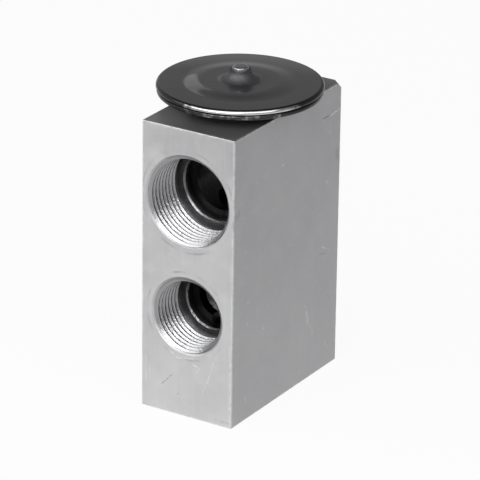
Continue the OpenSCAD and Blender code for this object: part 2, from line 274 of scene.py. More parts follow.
@dataclass
class Surface:
    """A material while its nodes are being added.

    Attributes:
        tree: Its tree.
        shader: Its Principled shader.
        place: Object coordinates, in metres.
    """

    tree: bpy.types.NodeTree
    shader: bpy.types.Node
    place: Socket

    def fed(self, name: str) -> object:
        """Gives what one of the shader's inputs has now.

        Args:
            name: The input.

        Returns:
            The socket that feeds it, or its plain value.
        """
        target = socket_of(self.shader.inputs, name)
        if target.is_linked:
            return target.links[0].from_socket
        value = target.default_value
        return value if isinstance(value, float) else tuple(value)

    def feed(self, name: str, source: bpy.types.Node) -> None:
        """Links a node to one of the shader's inputs."""
        join(self.tree, source, socket_of(self.shader.inputs, name))

    def tint(self, amount: object, other: str, share: float = 1.0) -> None:
        """Draws the base colour towards another by a mask.

        Args:
            amount: The mask, from 0 to 1.
            other: The colour that the mask draws to, as hex.
            share: How far it goes at a mask of 1.
        """
        weight = add(self.tree, "Math.MULTIPLY", (amount, share))
        self.feed("Base Color", add(self.tree, "Mix", {
            "Factor_Float": weight, "A_Color": self.fed("Base Color"), "B_Color": linear(other)},
            data_type="RGBA"))

    def roughen(self, amount: object, by: float) -> None:
        """Raises the roughness by a mask, or lowers it.

        Args:
            amount: The mask, from 0 to 1.
            by: The change at a mask of 1, which is negative for a smoother surface.
        """
        rough = add(self.tree, "Math.MULTIPLY_ADD", (amount, by, self.fed("Roughness")), use_clamp=True)
        self.feed("Roughness", rough)

    def emboss(self, height: object, strength: float, depth: float) -> None:
        """Gives the surface a fine relief.

        Args:
            height: The relief, from 0 to 1.
            strength: How strongly it tilts the light, up to 1.
            depth: What a height of 1 measures, in mm.
        """
        self.feed("Normal", add(self.tree, "Bump", {
            "Height": height, "Strength": strength, "Distance": depth * MM}))


@dataclass(frozen=True)
class Finish:
    """A surface finish, which adds its own nodes for grain and wear.

    Attributes:
        name: The material's name, which says what it is.
        colour: Its base colour as hex.
        metallic: How much of it is bare metal.
        roughness: Its roughness before any grain.
    """

    name: str
    colour: str
    metallic: float
    roughness: float

    def make(self) -> bpy.types.Material:
        """Builds the material.

        Returns:
            The material, with its nodes linked.
        """
        material = bpy.data.materials.new(self.name)
        material.diffuse_color = linear(self.colour)
        tree = emptied(material)
        shader = add(tree, "BsdfPrincipled", {
            "Base Color": linear(self.colour), "Metallic": self.metallic, "Roughness": self.roughness})
        add(tree, "OutputMaterial", {"Surface": shader})
        place = add(tree, "TexCoord").outputs["Object"]
        self.dress(Surface(tree, shader, place))
        return material

    def dress(self, on: Surface) -> None:
        """Adds the finish's own colour variation, roughness and relief.

        Args:
            on: The material while it is made.
        """
        raise NotImplementedError


@dataclass(frozen=True)
class ExtrudedAluminium(Finish):
    """Extruded aluminium with a thin dull oxide: a pale satin grey that scatters more than it mirrors.

    Attributes:
        half: Half the block's width and depth, in metres.
        height: The block's height, in metres.
        mouths: Each port's face, height and mouth radius in mm, for the faint rings round the mouths.
        marks: Scratches, nicks and scuffs.
        bared: How much more metallic the cut ends are.
        washer_out: How far outside a port's mouth the line of a fitting's washer runs, in mm.
        ring_step: How far apart the turned rings round a mouth are, in mm.
        ring_band: How far out from the mouth they reach, in mm.
    """

    half: Vector = field(default_factory=Vector)
    height: float = 0.0
    mouths: tuple[tuple[Face, float, float], ...] = ()
    marks: tuple[Mark, ...] = ()
    bared: float = 0.15
    washer_out: float = 1.3
    ring_step: float = 0.55
    ring_band: float = 1.6

    def dress(self, on: Surface) -> None:
        """Adds cloudy patches, die lines, handling marks, rings round the ports, worn edges with a painted
        highlight line, and painted light and shade: paler towards the base, darker wide faces and ends.

        Args:
            on: The material while it is made.
        """
        tree, place = on.tree, on.place
        # Cloudy oxide patches about 15 mm across, which the eye reads as slightly uneven grey
        on.tint(patches(tree, place, 15, 0.36, 0.64), "#929294", 0.5)
        on.tint(patches(tree, place, 4, 0.5, 0.68, 5), "#C2C2C3", 0.3)
        # Die lines up the faces. Real ones are finer than the render shows, so these are 0.7 mm apart
        tall = add(tree, "Mapping", {"Vector": place, "Scale": (1.0, 1.0, 0.03)})
        lines = patches(tree, tall, 0.7, 0.42, 0.66, 2)
        on.tint(lines, "#D8D8D9", 0.06)
        x, _, z = add(tree, "SeparateXYZ", (place,)).outputs
        # The port faces are milled. Painted light: every face is painted paler towards the base, where light
        # from the floor falls on it
        low = add(tree, "MapRange", (z, self.height, 0.0))
        on.tint(low, "#D8D8D9", 0.4)
        # Painted shade: the wide faces are painted darker, as the side that faces away from the lamps, and
        # darker still towards the top, as the shade under the head's rim
        off = add(tree, "Math.ABSOLUTE", (x,))
        wide = add(tree, "MapRange", (off, self.half.x - 0.3 * MM, self.half.x - 0.1 * MM))
        painted_top_shade = add(tree, "Math.MULTIPLY_ADD", (low, -0.25, 1.0))
        skin = add(tree, "Math.MULTIPLY", (wide, painted_top_shade))
        on.tint(skin, "#979799", 0.8)
        # Small handling marks of about 2 mm, sparse
        on.tint(patches(tree, place, 2.0, 0.68, 0.76, 4), "#E2E2E2", 0.3)
        self.polish_and_shade_ends(on)
        fray = add(tree, "TexNoise", {"Vector": place, "Scale": per_mm(0.7), "Detail": 3.0})
        rough = add(tree, "Math.SUBTRACT", (fray, 0.5))
        # Scratches skip over the metal, so noise breaks each into lengths of about a millimetre
        skips = patches(tree, place, 1.3, 0.38, 0.56, 4)
        masks = {}
        for tone in Tone:
            every = total(tree, "MAXIMUM", [
                self.mark_mask(on, rough, mark) for mark in self.marks if mark.tone is tone])
            masks[tone] = add(tree, "Math.MULTIPLY", (every, skips))
            on.tint(masks[tone], *tone.value)
        # Worn edges, painted pale as a highlight line along them
        on.tint(self.edge_wear_and_highlight_mask(on), "#E4E4E4", 0.35)
        on.tint(self.washer_mask(on), "#6C6C6F", 0.4)
        grain = add(tree, "TexNoise", {"Vector": place, "Scale": per_mm(0.35), "Detail": 3.0})
        on.roughen(grain, 0.14)
        on.roughen(masks[Tone.LIGHT], -0.12)
        relief = add(tree, "Math.MULTIPLY_ADD", (lines, 0.2, grain))
        dented = add(tree, "Math.MULTIPLY_ADD", (masks[Tone.DARK], -2.0, relief))
        ringed = add(tree, "Math.MULTIPLY_ADD", (self.ring_height(on), 0.3, dented))
        on.emboss(ringed, 0.35, 0.02)

    def polish_and_shade_ends(self, on: Surface) -> None:
        """Makes the sawn and milled ends smoother metal, which mirrors more than the bar's dull skin, and
        paints them darker as shade.

        Args:
            on: The material while it is made.
        """
        tree = on.tree
        _, _, z = add(tree, "SeparateXYZ", (on.place,)).outputs
        middle = add(tree, "Math.SUBTRACT", (z, self.height / 2))
        off = add(tree, "Math.ABSOLUTE", (middle,))
        ends = add(tree, "MapRange", (off, self.height / 2 - 0.2 * MM, self.height / 2 - 0.05 * MM))
        on.feed("Metallic", add(tree, "Math.MULTIPLY_ADD", (ends, self.bared, self.metallic)))
        on.roughen(ends, -0.04)
        # Painted shade: both ends are painted darker, for the top face that mirrors the dark room
        on.tint(ends, "#868688", 0.75)

    def mark_mask(self, on: Surface, rough: object, mark: Mark) -> bpy.types.Node:
        """Gives a mask that is 1 on a mark's line and fades at its edge.

        Args:
            on: The material while it is made.
            rough: A fine noise about 0 that frays the mark's edge.
            mark: The mark.

        Returns:
            The node that gives the mask, already times the mark's strength.
        """
        tree = on.tree
        start, end = mark.place(mark.start, self.half), mark.place(mark.end, self.half)
        run = end - start
        width = mark.width * MM
        from_start = add(tree, "VectorMath.SUBTRACT", (on.place, start))
        along = add(tree, "VectorMath.DOT_PRODUCT", (from_start, run / run.length_squared))
        share = add(tree, "Clamp", (along,))
        foot = add(tree, "VectorMath.SCALE", {"Vector": run, "Scale": share})
        away = add(tree, "VectorMath.DISTANCE", (from_start, foot))
        frayed = add(tree, "Math.MULTIPLY_ADD", (rough, width * 1.8, away))
        core = width * (0.5 - mark.soft / 2)
        return add(tree, "MapRange", {
            "Value": frayed, "From Min": core + width * mark.soft, "From Max": core,
            "To Max": mark.strength}, interpolation_type="SMOOTHSTEP")

    def edge_wear_and_highlight_mask(self, on: Surface) -> bpy.types.Node:
        """Gives a frayed mask along the block's twelve edges, where handling has polished them, and where it
        paints a pale highlight line.

        Args:
            on: The material while it is made.

        Returns:
            The node that gives the mask.
        """
        tree, place = on.tree, on.place
        size = Vector((self.half.x, self.half.y, self.height / 2))
        middle = Vector((0.0, 0.0, self.height / 2))
        centred = add(tree, "VectorMath.SUBTRACT", (place, middle))
        folded = add(tree, "VectorMath.ABSOLUTE", (centred,))
        inside = add(tree, "VectorMath.SUBTRACT", (size, folded))
        x, y, z = add(tree, "SeparateXYZ", (inside,)).outputs
        # The middle one of the three distances is the distance to the nearest edge
        low = add(tree, "Math.MINIMUM", (x, y))
        high = add(tree, "Math.MAXIMUM", (x, y))
        upper = add(tree, "Math.MINIMUM", (high, z))
        reach = add(tree, "Math.MAXIMUM", (low, upper))
        fray = add(tree, "TexNoise", {"Vector": place, "Scale": per_mm(1.6), "Detail": 4.0})
        frayed = add(tree, "Math.MULTIPLY_ADD", (fray, -1.1 * MM, reach))
        return add(tree, "MapRange", (frayed, 0.0, -0.35 * MM))

    def past_mouths(self, on: Surface, by: float) -> list[bpy.types.Node]:
        """Measures how far a point lies outside a circle round each port's mouth.

        Args:
            on: The material while it is made.
            by: How much wider the circle's radius is than the mouth's, in mm.

        Returns:
            For each port, the node that gives the distance in metres, negative inside the circle.
        """
        reaches = []
        for face, height, radius in self.mouths:
            centre = Vector((0.0, face.value[1] * self.half.y, height * MM))
            off = add(on.tree, "VectorMath.DISTANCE", (on.place, centre))
            reaches.append(add(on.tree, "Math.SUBTRACT", (off, (radius + by) * MM)))
        return reaches

    def washer_mask(self, on: Surface) -> bpy.types.Node:
        """Gives the broken dark line that a fitting's washer has left round each port's mouth.

        Args:
            on: The material while it is made.

        Returns:
            The node that gives the mask.
        """
        lines = []
        for reach in self.past_mouths(on, self.washer_out):
            away = add(on.tree, "Math.ABSOLUTE", (reach,))
            line = add(on.tree, "MapRange", (away, 0.4 * MM, 0.1 * MM), interpolation_type="SMOOTHSTEP")
            lines.append(line)
        broken = patches(on.tree, on.place, 5, 0.48, 0.66)
        return add(on.tree, "Math.MULTIPLY", (total(on.tree, "MAXIMUM", lines), broken))

    def ring_height(self, on: Surface) -> object:
        """Gives faint turned rings in a band just outside each port's mouth.

        Args:
            on: The material while it is made.

        Returns:
            The node that gives their height.
        """
        tree = on.tree
        bands = []
        for reach in self.past_mouths(on, 0.0):
            band = add(tree, "MapRange", (reach, self.ring_band * MM, 0.0), interpolation_type="SMOOTHSTEP")
            turns = add(tree, "Math.MULTIPLY", (reach, 2 * math.pi / (self.ring_step * MM)))
            wave = add(tree, "Math.SINE", (turns,))
            bands.append(add(tree, "Math.MULTIPLY", (band, wave)))
        return total(tree, "ADD", bands)


@dataclass(frozen=True)
class TurnedAluminium(Finish):
    """Freshly cut aluminium inside the ports: bright, with rings from the tool, and painted shade that
    darkens it deep inside.

    Attributes:
        half_depth: Half the block's depth, in metres.
        unshaded_to: Depth in mm to which the port has no painted shade.
        dark_from: Depth in mm from which the painted shade is full.
        lower_z: Height in mm under which a port's painted shade starts nearer the mouth.
        lower_by: How much further out in mm.
    """

    half_depth: float = 0.0
    unshaded_to: float = 12.0
    dark_from: float = 15.4
    lower_z: float = 44.0
    lower_by: float = 1.6

    def dress(self, on: Surface) -> None:
        """Adds tool rings across the port's axis, chatter, a fine grain and painted shade deep inside.

        Args:
            on: The material while it is made.
        """
        tree, place = on.tree, on.place
        # Tool rings 0.3 mm apart, one for each turn of the feed
        flat = add(tree, "Mapping", {"Vector": place, "Scale": (0.04, 1.0, 0.04)})
        rings = patches(tree, flat, 0.3, 0.35, 0.65, 2)
        on.tint(rings, "#8E8E8F", 0.3)
        grain = add(tree, "TexNoise", {"Vector": place, "Scale": per_mm(0.5), "Detail": 4.0})
        on.roughen(grain, 0.2)
        # Painted shade: the metal is painted near black with depth into the port, in blotches, and from
        # nearer the mouth in the lower ports
        _, y, z = add(tree, "SeparateXYZ", (place,)).outputs
        from_middle = add(tree, "Math.ABSOLUTE", (y,))
        lower = add(tree, "Math.LESS_THAN", (z, self.lower_z * MM))
        shade_reach = add(tree, "Math.MULTIPLY_ADD", (lower, -self.lower_by * MM, from_middle))
        blotch = add(tree, "TexNoise", {"Vector": place, "Scale": per_mm(3.0), "Detail": 2.0})
        uneven = add(tree, "Math.MULTIPLY_ADD", (blotch, 1.5 * MM, shade_reach))
        unshaded, dark = (self.half_depth - depth * MM for depth in (self.unshaded_to, self.dark_from))
        painted_shade = add(tree, "MapRange", (uneven, unshaded, dark), interpolation_type="SMOOTHSTEP")
        on.tint(painted_shade, "#2E2D2C", 0.97)
        # Chatter marks of about half a millimetre break the thread's bright flanks into flecks
        chatter = add(tree, "TexNoise", {"Vector": place, "Scale": per_mm(0.55), "Detail": 2.0})
        relief = add(tree, "Math.MULTIPLY_ADD", (rings, 0.25, grain))
        # The chamfer at the mouth was cut last and is free of them
        inside = add(tree, "MapRange", (from_middle, self.half_depth - 0.8 * MM, self.half_depth - 1.2 * MM))
        flecks = add(tree, "Math.MULTIPLY", (chatter, inside))
        relief = add(tree, "Math.MULTIPLY_ADD", (flecks, 1.5, relief))
        on.emboss(relief, 0.75, 0.07)


@dataclass(frozen=True)
class PressedSteel(Finish):
    """Pressed sheet steel with a dark smooth plating, which the eye reads by its clear soft reflections.

    Attributes:
        centre_y: The stem axis's place, in metres.
        rim_r: Radius of the rim in mm.
        highlight_to: Degrees from the front towards the right at which the rim's painted highlight is
            strongest.
        sheen_to: Degrees from the front towards the right at which the cover's painted sheen is palest.
        brazed_r: Radius in mm of the rough brazed zone round the plug.
        button_r: Radius in mm of the plug's bright button inside that zone.
        flange_r: Radius in mm from which the painted shade on the shell's flange is broken in patches.
        seam_z: Height in mm of the seam between the cover and the shell under it.
        rolled_in: How far inside the rim, in mm, the rolled edge's painted shade starts, and where it is
            full.
        crest_in: The same for the edge's crest, which takes the painted highlight.
        dulled: Radii in mm between which the sheet gets duller towards the braze.
    """

    centre_y: float = 0.0
    rim_r: float = 21.5
    highlight_to: float = 34.0
    sheen_to: float = 205.0
    brazed_r: float = 4.6
    button_r: float = 2.15
    flange_r: float = 16.0
    seam_z: float = 83.3
    rolled_in: Point = (1.1, 0.7)
    crest_in: Point = (0.42, 0.24)
    dulled: Point = (10.5, 7.5)

    def dress(self, on: Surface) -> None:
        """Adds cloudy plating, a painted sheen towards the back, painted shade and highlight on the rim,
        painted shade on the shell, the grainy braze and a slight orange peel.

        Args:
            on: The material while it is made.
        """
        tree, place = on.tree, on.place
        on.tint(patches(tree, place, 9, 0.35, 0.65, 4), "#666668", 0.35)
        axis = add(tree, "Mapping", {
            "Vector": place, "Location": (0.0, -self.centre_y, 0.0), "Scale": (1.0, 1.0, 0.0)})
        radius = add(tree, "VectorMath.LENGTH", (axis,))
        # Painted sheen: the cover is painted paler towards the back, where its slopes mirror the brighter
        # room
        painted_back_sheen = add(tree, "MapRange", (self.facing(on, axis, self.sheen_to), 0.3, 0.85))
        on.tint(painted_back_sheen, "#A4A4A6", 0.5)
        self.shade_and_highlight_rim(on, axis, radius)
        self.shade_shell(on, radius)
        on.roughen(patches(tree, place, 3.5, 0.45, 0.7, 5), 0.1)
        near = self.braze(on, radius)
        # Draw rings about 1.2 mm apart, left by the press tool
        count = add(tree, "Math.MULTIPLY", (radius, per_mm(1.2)))
        rings = add(tree, "TexNoise", {"W": count, "Scale": 1.0, "Detail": 2.0}, noise_dimensions="1D")
        peel = add(tree, "TexNoise", {"Vector": place, "Scale": per_mm(2.5), "Detail": 2.0})
        speck = add(tree, "TexNoise", {"Vector": place, "Scale": per_mm(0.45), "Detail": 3.0})
        grit = add(tree, "Math.MULTIPLY", (speck, near))
        relief = add(tree, "Math.MULTIPLY_ADD", (rings, 0.5, peel))
        relief = add(tree, "Math.MULTIPLY_ADD", (grit, 16.0, relief))
        on.emboss(relief, 0.25, 0.02)

    def facing(self, on: Surface, axis: bpy.types.Node, azimuth: float) -> bpy.types.Node:
        """Measures how far a point lies towards one side of the head.

        Args:
            on: The material while it is made.
            axis: The level offset from the stem axis.
            azimuth: The side, in degrees from the front towards the right.

        Returns:
            The node that gives 1 at the rim on that side, and -1 on the other.
        """
        return add(on.tree, "VectorMath.DOT_PRODUCT", (axis, towards(azimuth, 0) / (self.rim_r * MM)))

    def shade_and_highlight_rim(self, on: Surface, axis: bpy.types.Node, radius: bpy.types.Node) -> None:
        """Paints shade on the rolled edge, except on its crest in front, where it paints a highlight.

        Args:
            on: The material while it is made.
            axis: The level offset from the stem axis.
            radius: Its length.
        """
        tree = on.tree
        roll, crest = (
            add(tree, "MapRange", (radius, (self.rim_r - start) * MM, (self.rim_r - full) * MM))
            for start, full in (self.rolled_in, self.crest_in))
        rim_blotch = add(tree, "TexNoise", {"Vector": on.place, "Scale": per_mm(3.0), "Detail": 4.0})
        blotchy = add(tree, "Math.MULTIPLY_ADD", (rim_blotch, 0.5, self.facing(on, axis, self.highlight_to)))
        unshaded = add(tree, "MapRange", (blotchy, 1.0, 1.14))
        rim_highlight = add(tree, "Math.MULTIPLY", (crest, unshaded))
        rim_shade = add(tree, "Math.SUBTRACT", (roll, rim_highlight))
        # Painted shade on the rolled edge at the sides and back, and a painted highlight on its crest in
        # front
        on.tint(rim_shade, "#2E2E30", 0.92)
        on.tint(rim_highlight, "#C4C4C6", 0.9)
        on.roughen(rim_shade, 0.22)

    def shade_shell(self, on: Surface, radius: bpy.types.Node) -> None:
        """Paints shade over the shell under the cover, broken in patches on its flange.

        Args:
            on: The material while it is made.
            radius: The distance from the stem axis.
        """
        tree = on.tree
        _, _, z = add(tree, "SeparateXYZ", (on.place,)).outputs
        under = add(tree, "Math.LESS_THAN", (z, self.seam_z * MM))
        flange = add(tree, "Math.GREATER_THAN", (radius, self.flange_r * MM))
        shade_gaps = total(tree, "MULTIPLY", [patches(tree, on.place, 2.2, 0.5, 0.66, 4), flange])
        painted_shade = add(tree, "Math.MULTIPLY_ADD", (shade_gaps, -0.5, 1.0))
        # Painted shade: the shell under the cover is painted near black, with gaps in patches on its flange
        on.tint(total(tree, "MULTIPLY", [under, painted_shade]), "#2A2A2B", 0.97)

    def braze(self, on: Surface, radius: bpy.types.Node) -> bpy.types.Node:
        """Roughens and darkens the brazed zone, dulls the sheet round it and brightens the plug's button.

        Args:
            on: The material while it is made.
            radius: The distance from the stem axis.

        Returns:
            The node that gives 1 in the brazed zone, button included.
        """
        tree = on.tree
        near = add(tree, "MapRange", (radius, (self.brazed_r + 0.8) * MM, self.brazed_r * MM))
        button = add(tree, "Math.LESS_THAN", (radius, self.button_r * MM))
        round_it = add(tree, "Math.SUBTRACT", (near, button), use_clamp=True)
        # Flux and polish have left the sheet round the braze duller than the rest
        flux = add(tree, "MapRange", (radius, self.dulled[0] * MM, self.dulled[1] * MM))
        on.roughen(round_it, 0.3)
        on.roughen(flux, 0.18)
        on.tint(round_it, "#5A5A5C", 0.9)
        on.tint(button, "#8E8E90", 0.8)
        return near


@dataclass(frozen=True)
class PlainMetal(Finish):
    """Turned, drawn or stamped metal of the inner pieces: even colour, fine lines and slight tarnish.

    Attributes:
        tarnish: The colour of its tarnished patches, as hex.
        lines: How far apart its fine lines are, in mm.
    """

    tarnish: str = "#6A6A6C"
    lines: float = 0.25

    def dress(self, on: Surface) -> None:
        """Adds tarnish and fine lines round the stem axis.

        Args:
            on: The material while it is made.
        """
        tree, place = on.tree, on.place
        on.tint(patches(tree, place, 2.5, 0.45, 0.75, 4), self.tarnish, 0.4)
        flat = add(tree, "Mapping", {"Vector": place, "Scale": (0.05, 0.05, 1.0)})
        grain = add(tree, "TexNoise", {"Vector": flat, "Scale": per_mm(self.lines), "Detail": 3.0})
        on.roughen(grain, 0.15)
        on.emboss(grain, 0.3, 0.01)


@dataclass(frozen=True)
class MouldedPolymer(Finish):
    """Moulded rubber or plastic: no metal in it, a dull skin with a fine pebble and a little dust.

    Attributes:
        dust: The dust's colour, as hex.
    """

    dust: str = "#3A3A3A"

    def dress(self, on: Surface) -> None:
        """Adds dust and a fine pebble.

        Args:
            on: The material while it is made.
        """
        tree, place = on.tree, on.place
        on.tint(patches(tree, place, 1.5, 0.45, 0.75, 4), self.dust, 0.5)
        pebble = add(tree, "TexNoise", {"Vector": place, "Scale": per_mm(0.2), "Detail": 3.0})
        on.roughen(pebble, 0.1)
        on.emboss(pebble, 0.3, 0.01)


def mesh_object(name: str, mesh: bpy.types.Mesh) -> bpy.types.Object:
    """Puts a mesh in the scene as an object at the origin.

    Args:
        name: The object's name.
        mesh: The mesh.

    Returns:
        The object.
    """
    obj = bpy.data.objects.new(name, mesh)
    bpy.context.scene.collection.objects.link(obj)
    return obj


def finished(work: bmesh.types.BMesh, name: str) -> bpy.types.Object:
    """Turns a worked mesh into an object at the origin, and frees it.

    Args:
        work: The worked mesh.
        name: The name of the object and its mesh.

    Returns:
        The object.
    """
    mesh = bpy.data.meshes.new(name)
    work.to_mesh(mesh)
    work.free()
    return mesh_object(name, mesh)


def merged_copy(node: str) -> bmesh.types.BMesh:
    """Copies a solid's mesh for work on it, with the doubled points along its faces merged.

    Args:
        node: The CAD node.

    Returns:
        The copy.
    """
    work = bmesh.new()
    work.from_mesh(frame["nodes"][node].data)
    bmesh.ops.remove_doubles(work, verts=work.verts, dist=SAME)
    return work


def baked(obj: bpy.types.Object, name: str) -> bpy.types.Object:
    """Turns an object's modifiers into a plain mesh in a new object, and removes the old one.

    Args:
        obj: The object with its modifiers.
        name: The new object's name.

    Returns:
        The plain object.
    """
    graph = bpy.context.evaluated_depsgraph_get()
    mesh = bpy.data.meshes.new_from_object(obj.evaluated_get(graph), depsgraph=graph)
    bpy.data.objects.remove(obj, do_unlink=True)
    mesh.name = name
    return mesh_object(name, mesh)


def sharpen(mesh: bpy.types.Mesh, angle_deg: float, keep_soft: Callable[[bmesh.types.BMEdge], bool]) -> None:
    """Shades a mesh smooth and marks the edges steeper than an angle as sharp.

    Args:
        mesh: The mesh.
        angle_deg: The angle.
        keep_soft: Says which steep edges stay soft.
    """
    work = bmesh.new()
    work.from_mesh(mesh)
    for side in work.faces:
        side.smooth = True
    limit = math.radians(angle_deg)
    for edge in work.edges:
        steep = len(edge.link_faces) != 2 or edge.calc_face_angle(0.0) > limit
        edge.smooth = not steep or keep_soft(edge)
    work.to_mesh(mesh)
    work.free()


def lathe(name: str, profile: Sequence[Point], centre_y: float, steps: int = 192) -> bpy.types.Object:
    """Turns a closed half section about the stem axis into a smooth mesh.

    Args:
        name: The object's name.
        profile: Radius and height of each point in mm, in order round the section.
        centre_y: The axis's place in metres.
        steps: Points round the circle.

    Returns:
        The object, with faces that point outwards.
    """
    work = bmesh.new()
    rings = []
    for radius, height in profile:
        if radius == 0.0:
            rings.append([work.verts.new((0.0, centre_y, height * MM))])
            continue
        angles = (2 * math.pi * i / steps for i in range(steps))
        rings.append([work.verts.new((radius * MM * math.cos(a), centre_y + radius * MM * math.sin(a),
                                      height * MM)) for a in angles])
    closed = len(rings[0]) > 1
    pairs = list(zip(rings, rings[1:])) + ([(rings[-1], rings[0])] if closed else [])
    for one, other in pairs:
        for i in range(steps):
            corners = [one[i % len(one)], one[(i + 1) % len(one)],
                       other[(i + 1) % len(other)], other[i % len(other)]]
            distinct = list(dict.fromkeys(corners))
            if len(distinct) > 2:
                work.faces.new(distinct)
    bmesh.ops.recalc_face_normals(work, faces=work.faces)
    piece = finished(work, name)
    sharpen(piece.data, 32, lambda edge: False)
    return piece


def arc(centre: Point, radius: float, start: float, stop: float, steps: int = 12) -> list[Point]:
    """Gives the points of an arc.

    Args:
        centre: Its centre.
        radius: Its radius.
        start: The angle at which it starts, in degrees.
        stop: The angle at which it ends.
        steps: Lines in the arc.

    Returns:
        The points.
    """
    angles = (math.radians(start + (stop - start) * i / steps) for i in range(steps + 1))
    return [(centre[0] + radius * math.cos(a), centre[1] + radius * math.sin(a)) for a in angles]


def s_bend(start: Point, end: Point, steps: int = 24) -> list[Point]:
    """Gives the points of the smooth S that a pressed sheet makes between two heights.

    Args:
        start: The first point.
        end: The last point.
        steps: Lines in the curve.

    Returns:
        The points.
    """
    run, rise = end[0] - start[0], end[1] - start[1]
    shares = (i / steps for i in range(steps + 1))
    return [(start[0] + run * t, start[1] + rise * (1 - math.cos(math.pi * t)) / 2) for t in shares]


def flare(foot: Point, lip: Point, steps: int = 18) -> list[Point]:
    """Gives the points of a concave flare from a flat foot up to a steep lip.

    Args:
        foot: The first point, where the flare leaves the sheet level.
        lip: The last point, where it stands upright.
        steps: Lines in the curve.

    Returns:
        The points.
    """
    run, rise = lip[0] - foot[0], lip[1] - foot[1]
    angles = (math.pi / 2 * i / steps for i in range(steps + 1))
    return [(foot[0] + run * math.sin(a), foot[1] + rise * (1 - math.cos(a))) for a in angles]


@dataclass
class PortThread:
    """The helical thread of one port, made by a Geometry Nodes tree.

    Attributes:
        name: The piece's name.
        face: The face that the port opens in.
        height: Height of the port's axis.
        radius: Radius of the port's wall, which is the thread's outer radius.
        start: Depth at which the thread starts.
        stop: Depth at which it runs out.
        pitch: Pitch.
        rise: Height of the thread above the wall.
        root: Width of the thread at the wall.
        crest: Width of its flat crest.
        sunk: How far the thread's root lies inside the wall.
        fade: Turns over which each end is drawn down into the wall.
        steps: Points in one turn.
        crisp_from: Angle in degrees from which an edge stays sharp.
    """

    name: str
    face: Face
    height: float
    radius: float
    start: float
    stop: float
    pitch: float = 1.5
    rise: float = 0.81
    root: float = 1.31
    crest: float = 0.24
    sunk: float = 0.02
    fade: float = 0.35
    steps: int = 128
    crisp_from: float = 18.0

    def tree(self) -> bpy.types.NodeTree:
        """Builds the tree: a spiral, a trapezoid swept along it, and both ends drawn down into the wall.

        Returns:
            The tree, with named inputs for every size.
        """
        tree = bpy.data.node_groups.new("swept_thread", "GeometryNodeTree")
        tree.interface.new_socket("Geometry", in_out="OUTPUT", socket_type="NodeSocketGeometry")
        for label in ("Radius", "Pitch", "Turns", "Rise", "Root", "Crest", "Sunk", "Fade Turns"):
            tree.interface.new_socket(label, in_out="INPUT", socket_type="NodeSocketFloat")
        tree.interface.new_socket("Steps", in_out="INPUT", socket_type="NodeSocketInt")
        tree.interface.new_socket("Material", in_out="INPUT", socket_type="NodeSocketMaterial")
        given = add(tree, "NodeGroupInput").outputs
        length = add(tree, "Math.MULTIPLY", (given["Turns"], given["Pitch"]))
        spiral = add(tree, "GeometryNodeCurveSpiral", {
            "Resolution": given["Steps"], "Rotations": given["Turns"], "Start Radius": given["Radius"],
            "End Radius": given["Radius"], "Height": length, "Reverse": True})
        upright = add(tree, "GeometryNodeSetCurveNormal", {"Curve": spiral}, mode="Z_UP")
        # The spiral is right-handed, so the profile's X runs away from its axis, and its Y along that axis
        rise = add(tree, "Math.MULTIPLY", (given["Rise"], -1.0))
        corners = []
        for x, width, side in ((given["Sunk"], "Root", 0.5), (rise, "Crest", 0.5),
                               (rise, "Crest", -0.5), (given["Sunk"], "Root", -0.5)):
            y = add(tree, "Math.MULTIPLY", (given[width], side))
            corners.append(add(tree, "CombineXYZ", (x, y)))
        section = add(tree, "GeometryNodeCurvePrimitiveQuadrilateral", {
            f"Point {i + 1}": corner for i, corner in enumerate(corners)}, mode="POINTS")
        along = add(tree, "GeometryNodeSplineParameter").outputs["Factor"]
        left = add(tree, "Math.SUBTRACT", (1.0, along))
        from_end = add(tree, "Math.MINIMUM", (along, left))
        turns = add(tree, "Math.MULTIPLY", (from_end, given["Turns"]))
        fade = add(tree, "Math.DIVIDE", (turns, given["Fade Turns"]), use_clamp=True)
        # A section of no size would leave open poles, so the ends keep a fiftieth of it
        scale = add(tree, "Math.MAXIMUM", (fade, 0.02))
        swept = add(tree, "GeometryNodeCurveToMesh", {
            "Curve": upright, "Profile Curve": section, "Scale": scale, "Fill Caps": True})
        smooth = add(tree, "GeometryNodeSetShadeSmooth", {"Geometry": swept, "Shade Smooth": True})
        angle = add(tree, "GeometryNodeInputMeshEdgeAngle").outputs["Unsigned Angle"]
        limit = math.radians(self.crisp_from)
        steep = add(tree, "FunctionNodeCompare.GREATER_THAN", {"A": angle, "B": limit})
        crisp = add(tree, "GeometryNodeSetShadeSmooth", {
            "Geometry": smooth, "Selection": steep, "Shade Smooth": False}, domain="EDGE")
        whole = add(tree, "GeometryNodeRealizeInstances", {"Geometry": crisp})
        painted = add(tree, "GeometryNodeSetMaterial", {"Geometry": whole, "Material": given["Material"]})
        add(tree, "NodeGroupOutput", {tree.interface.items_tree[0].identifier: painted})
        return tree

    def build(self, tree: bpy.types.NodeTree, material: bpy.types.Material, half_depth: float
              ) -> bpy.types.Object:
        """Sweeps the thread, turns it into its port and gives the plain piece.

        Args:
            tree: The tree from tree().
            material: The finish of the cut metal.
            half_depth: Half the block's depth in metres.

        Returns:
            The thread as a mesh in the part's frame.
        """
        holder = mesh_object(f"{self.name}_path", bpy.data.meshes.new(f"{self.name}_path"))
        modifier = holder.modifiers.new("thread", "NODES")
        modifier.node_group = tree
        turns = (self.stop - self.start) / self.pitch
        sizes = {"Turns": turns, "Fade Turns": self.fade, "Steps": self.steps, "Material": material}
        for label in ("Radius", "Pitch", "Rise", "Root", "Crest", "Sunk"):
            sizes[label] = getattr(self, label.lower()) * MM
        for item in tree.interface.items_tree:
            if item.in_out == "INPUT":
                modifier[item.identifier] = sizes[item.name]
        piece = baked(holder, self.name)
        inwards = -Vector(self.face.value)
        turn = Vector((0.0, 0.0, 1.0)).rotation_difference(inwards).to_matrix().to_4x4()
        mouth = Vector((0.0, -inwards.y * half_depth, self.height * MM)) + inwards * self.start * MM
        piece.data.transform(Matrix.Translation(mouth) @ turn)
        return piece


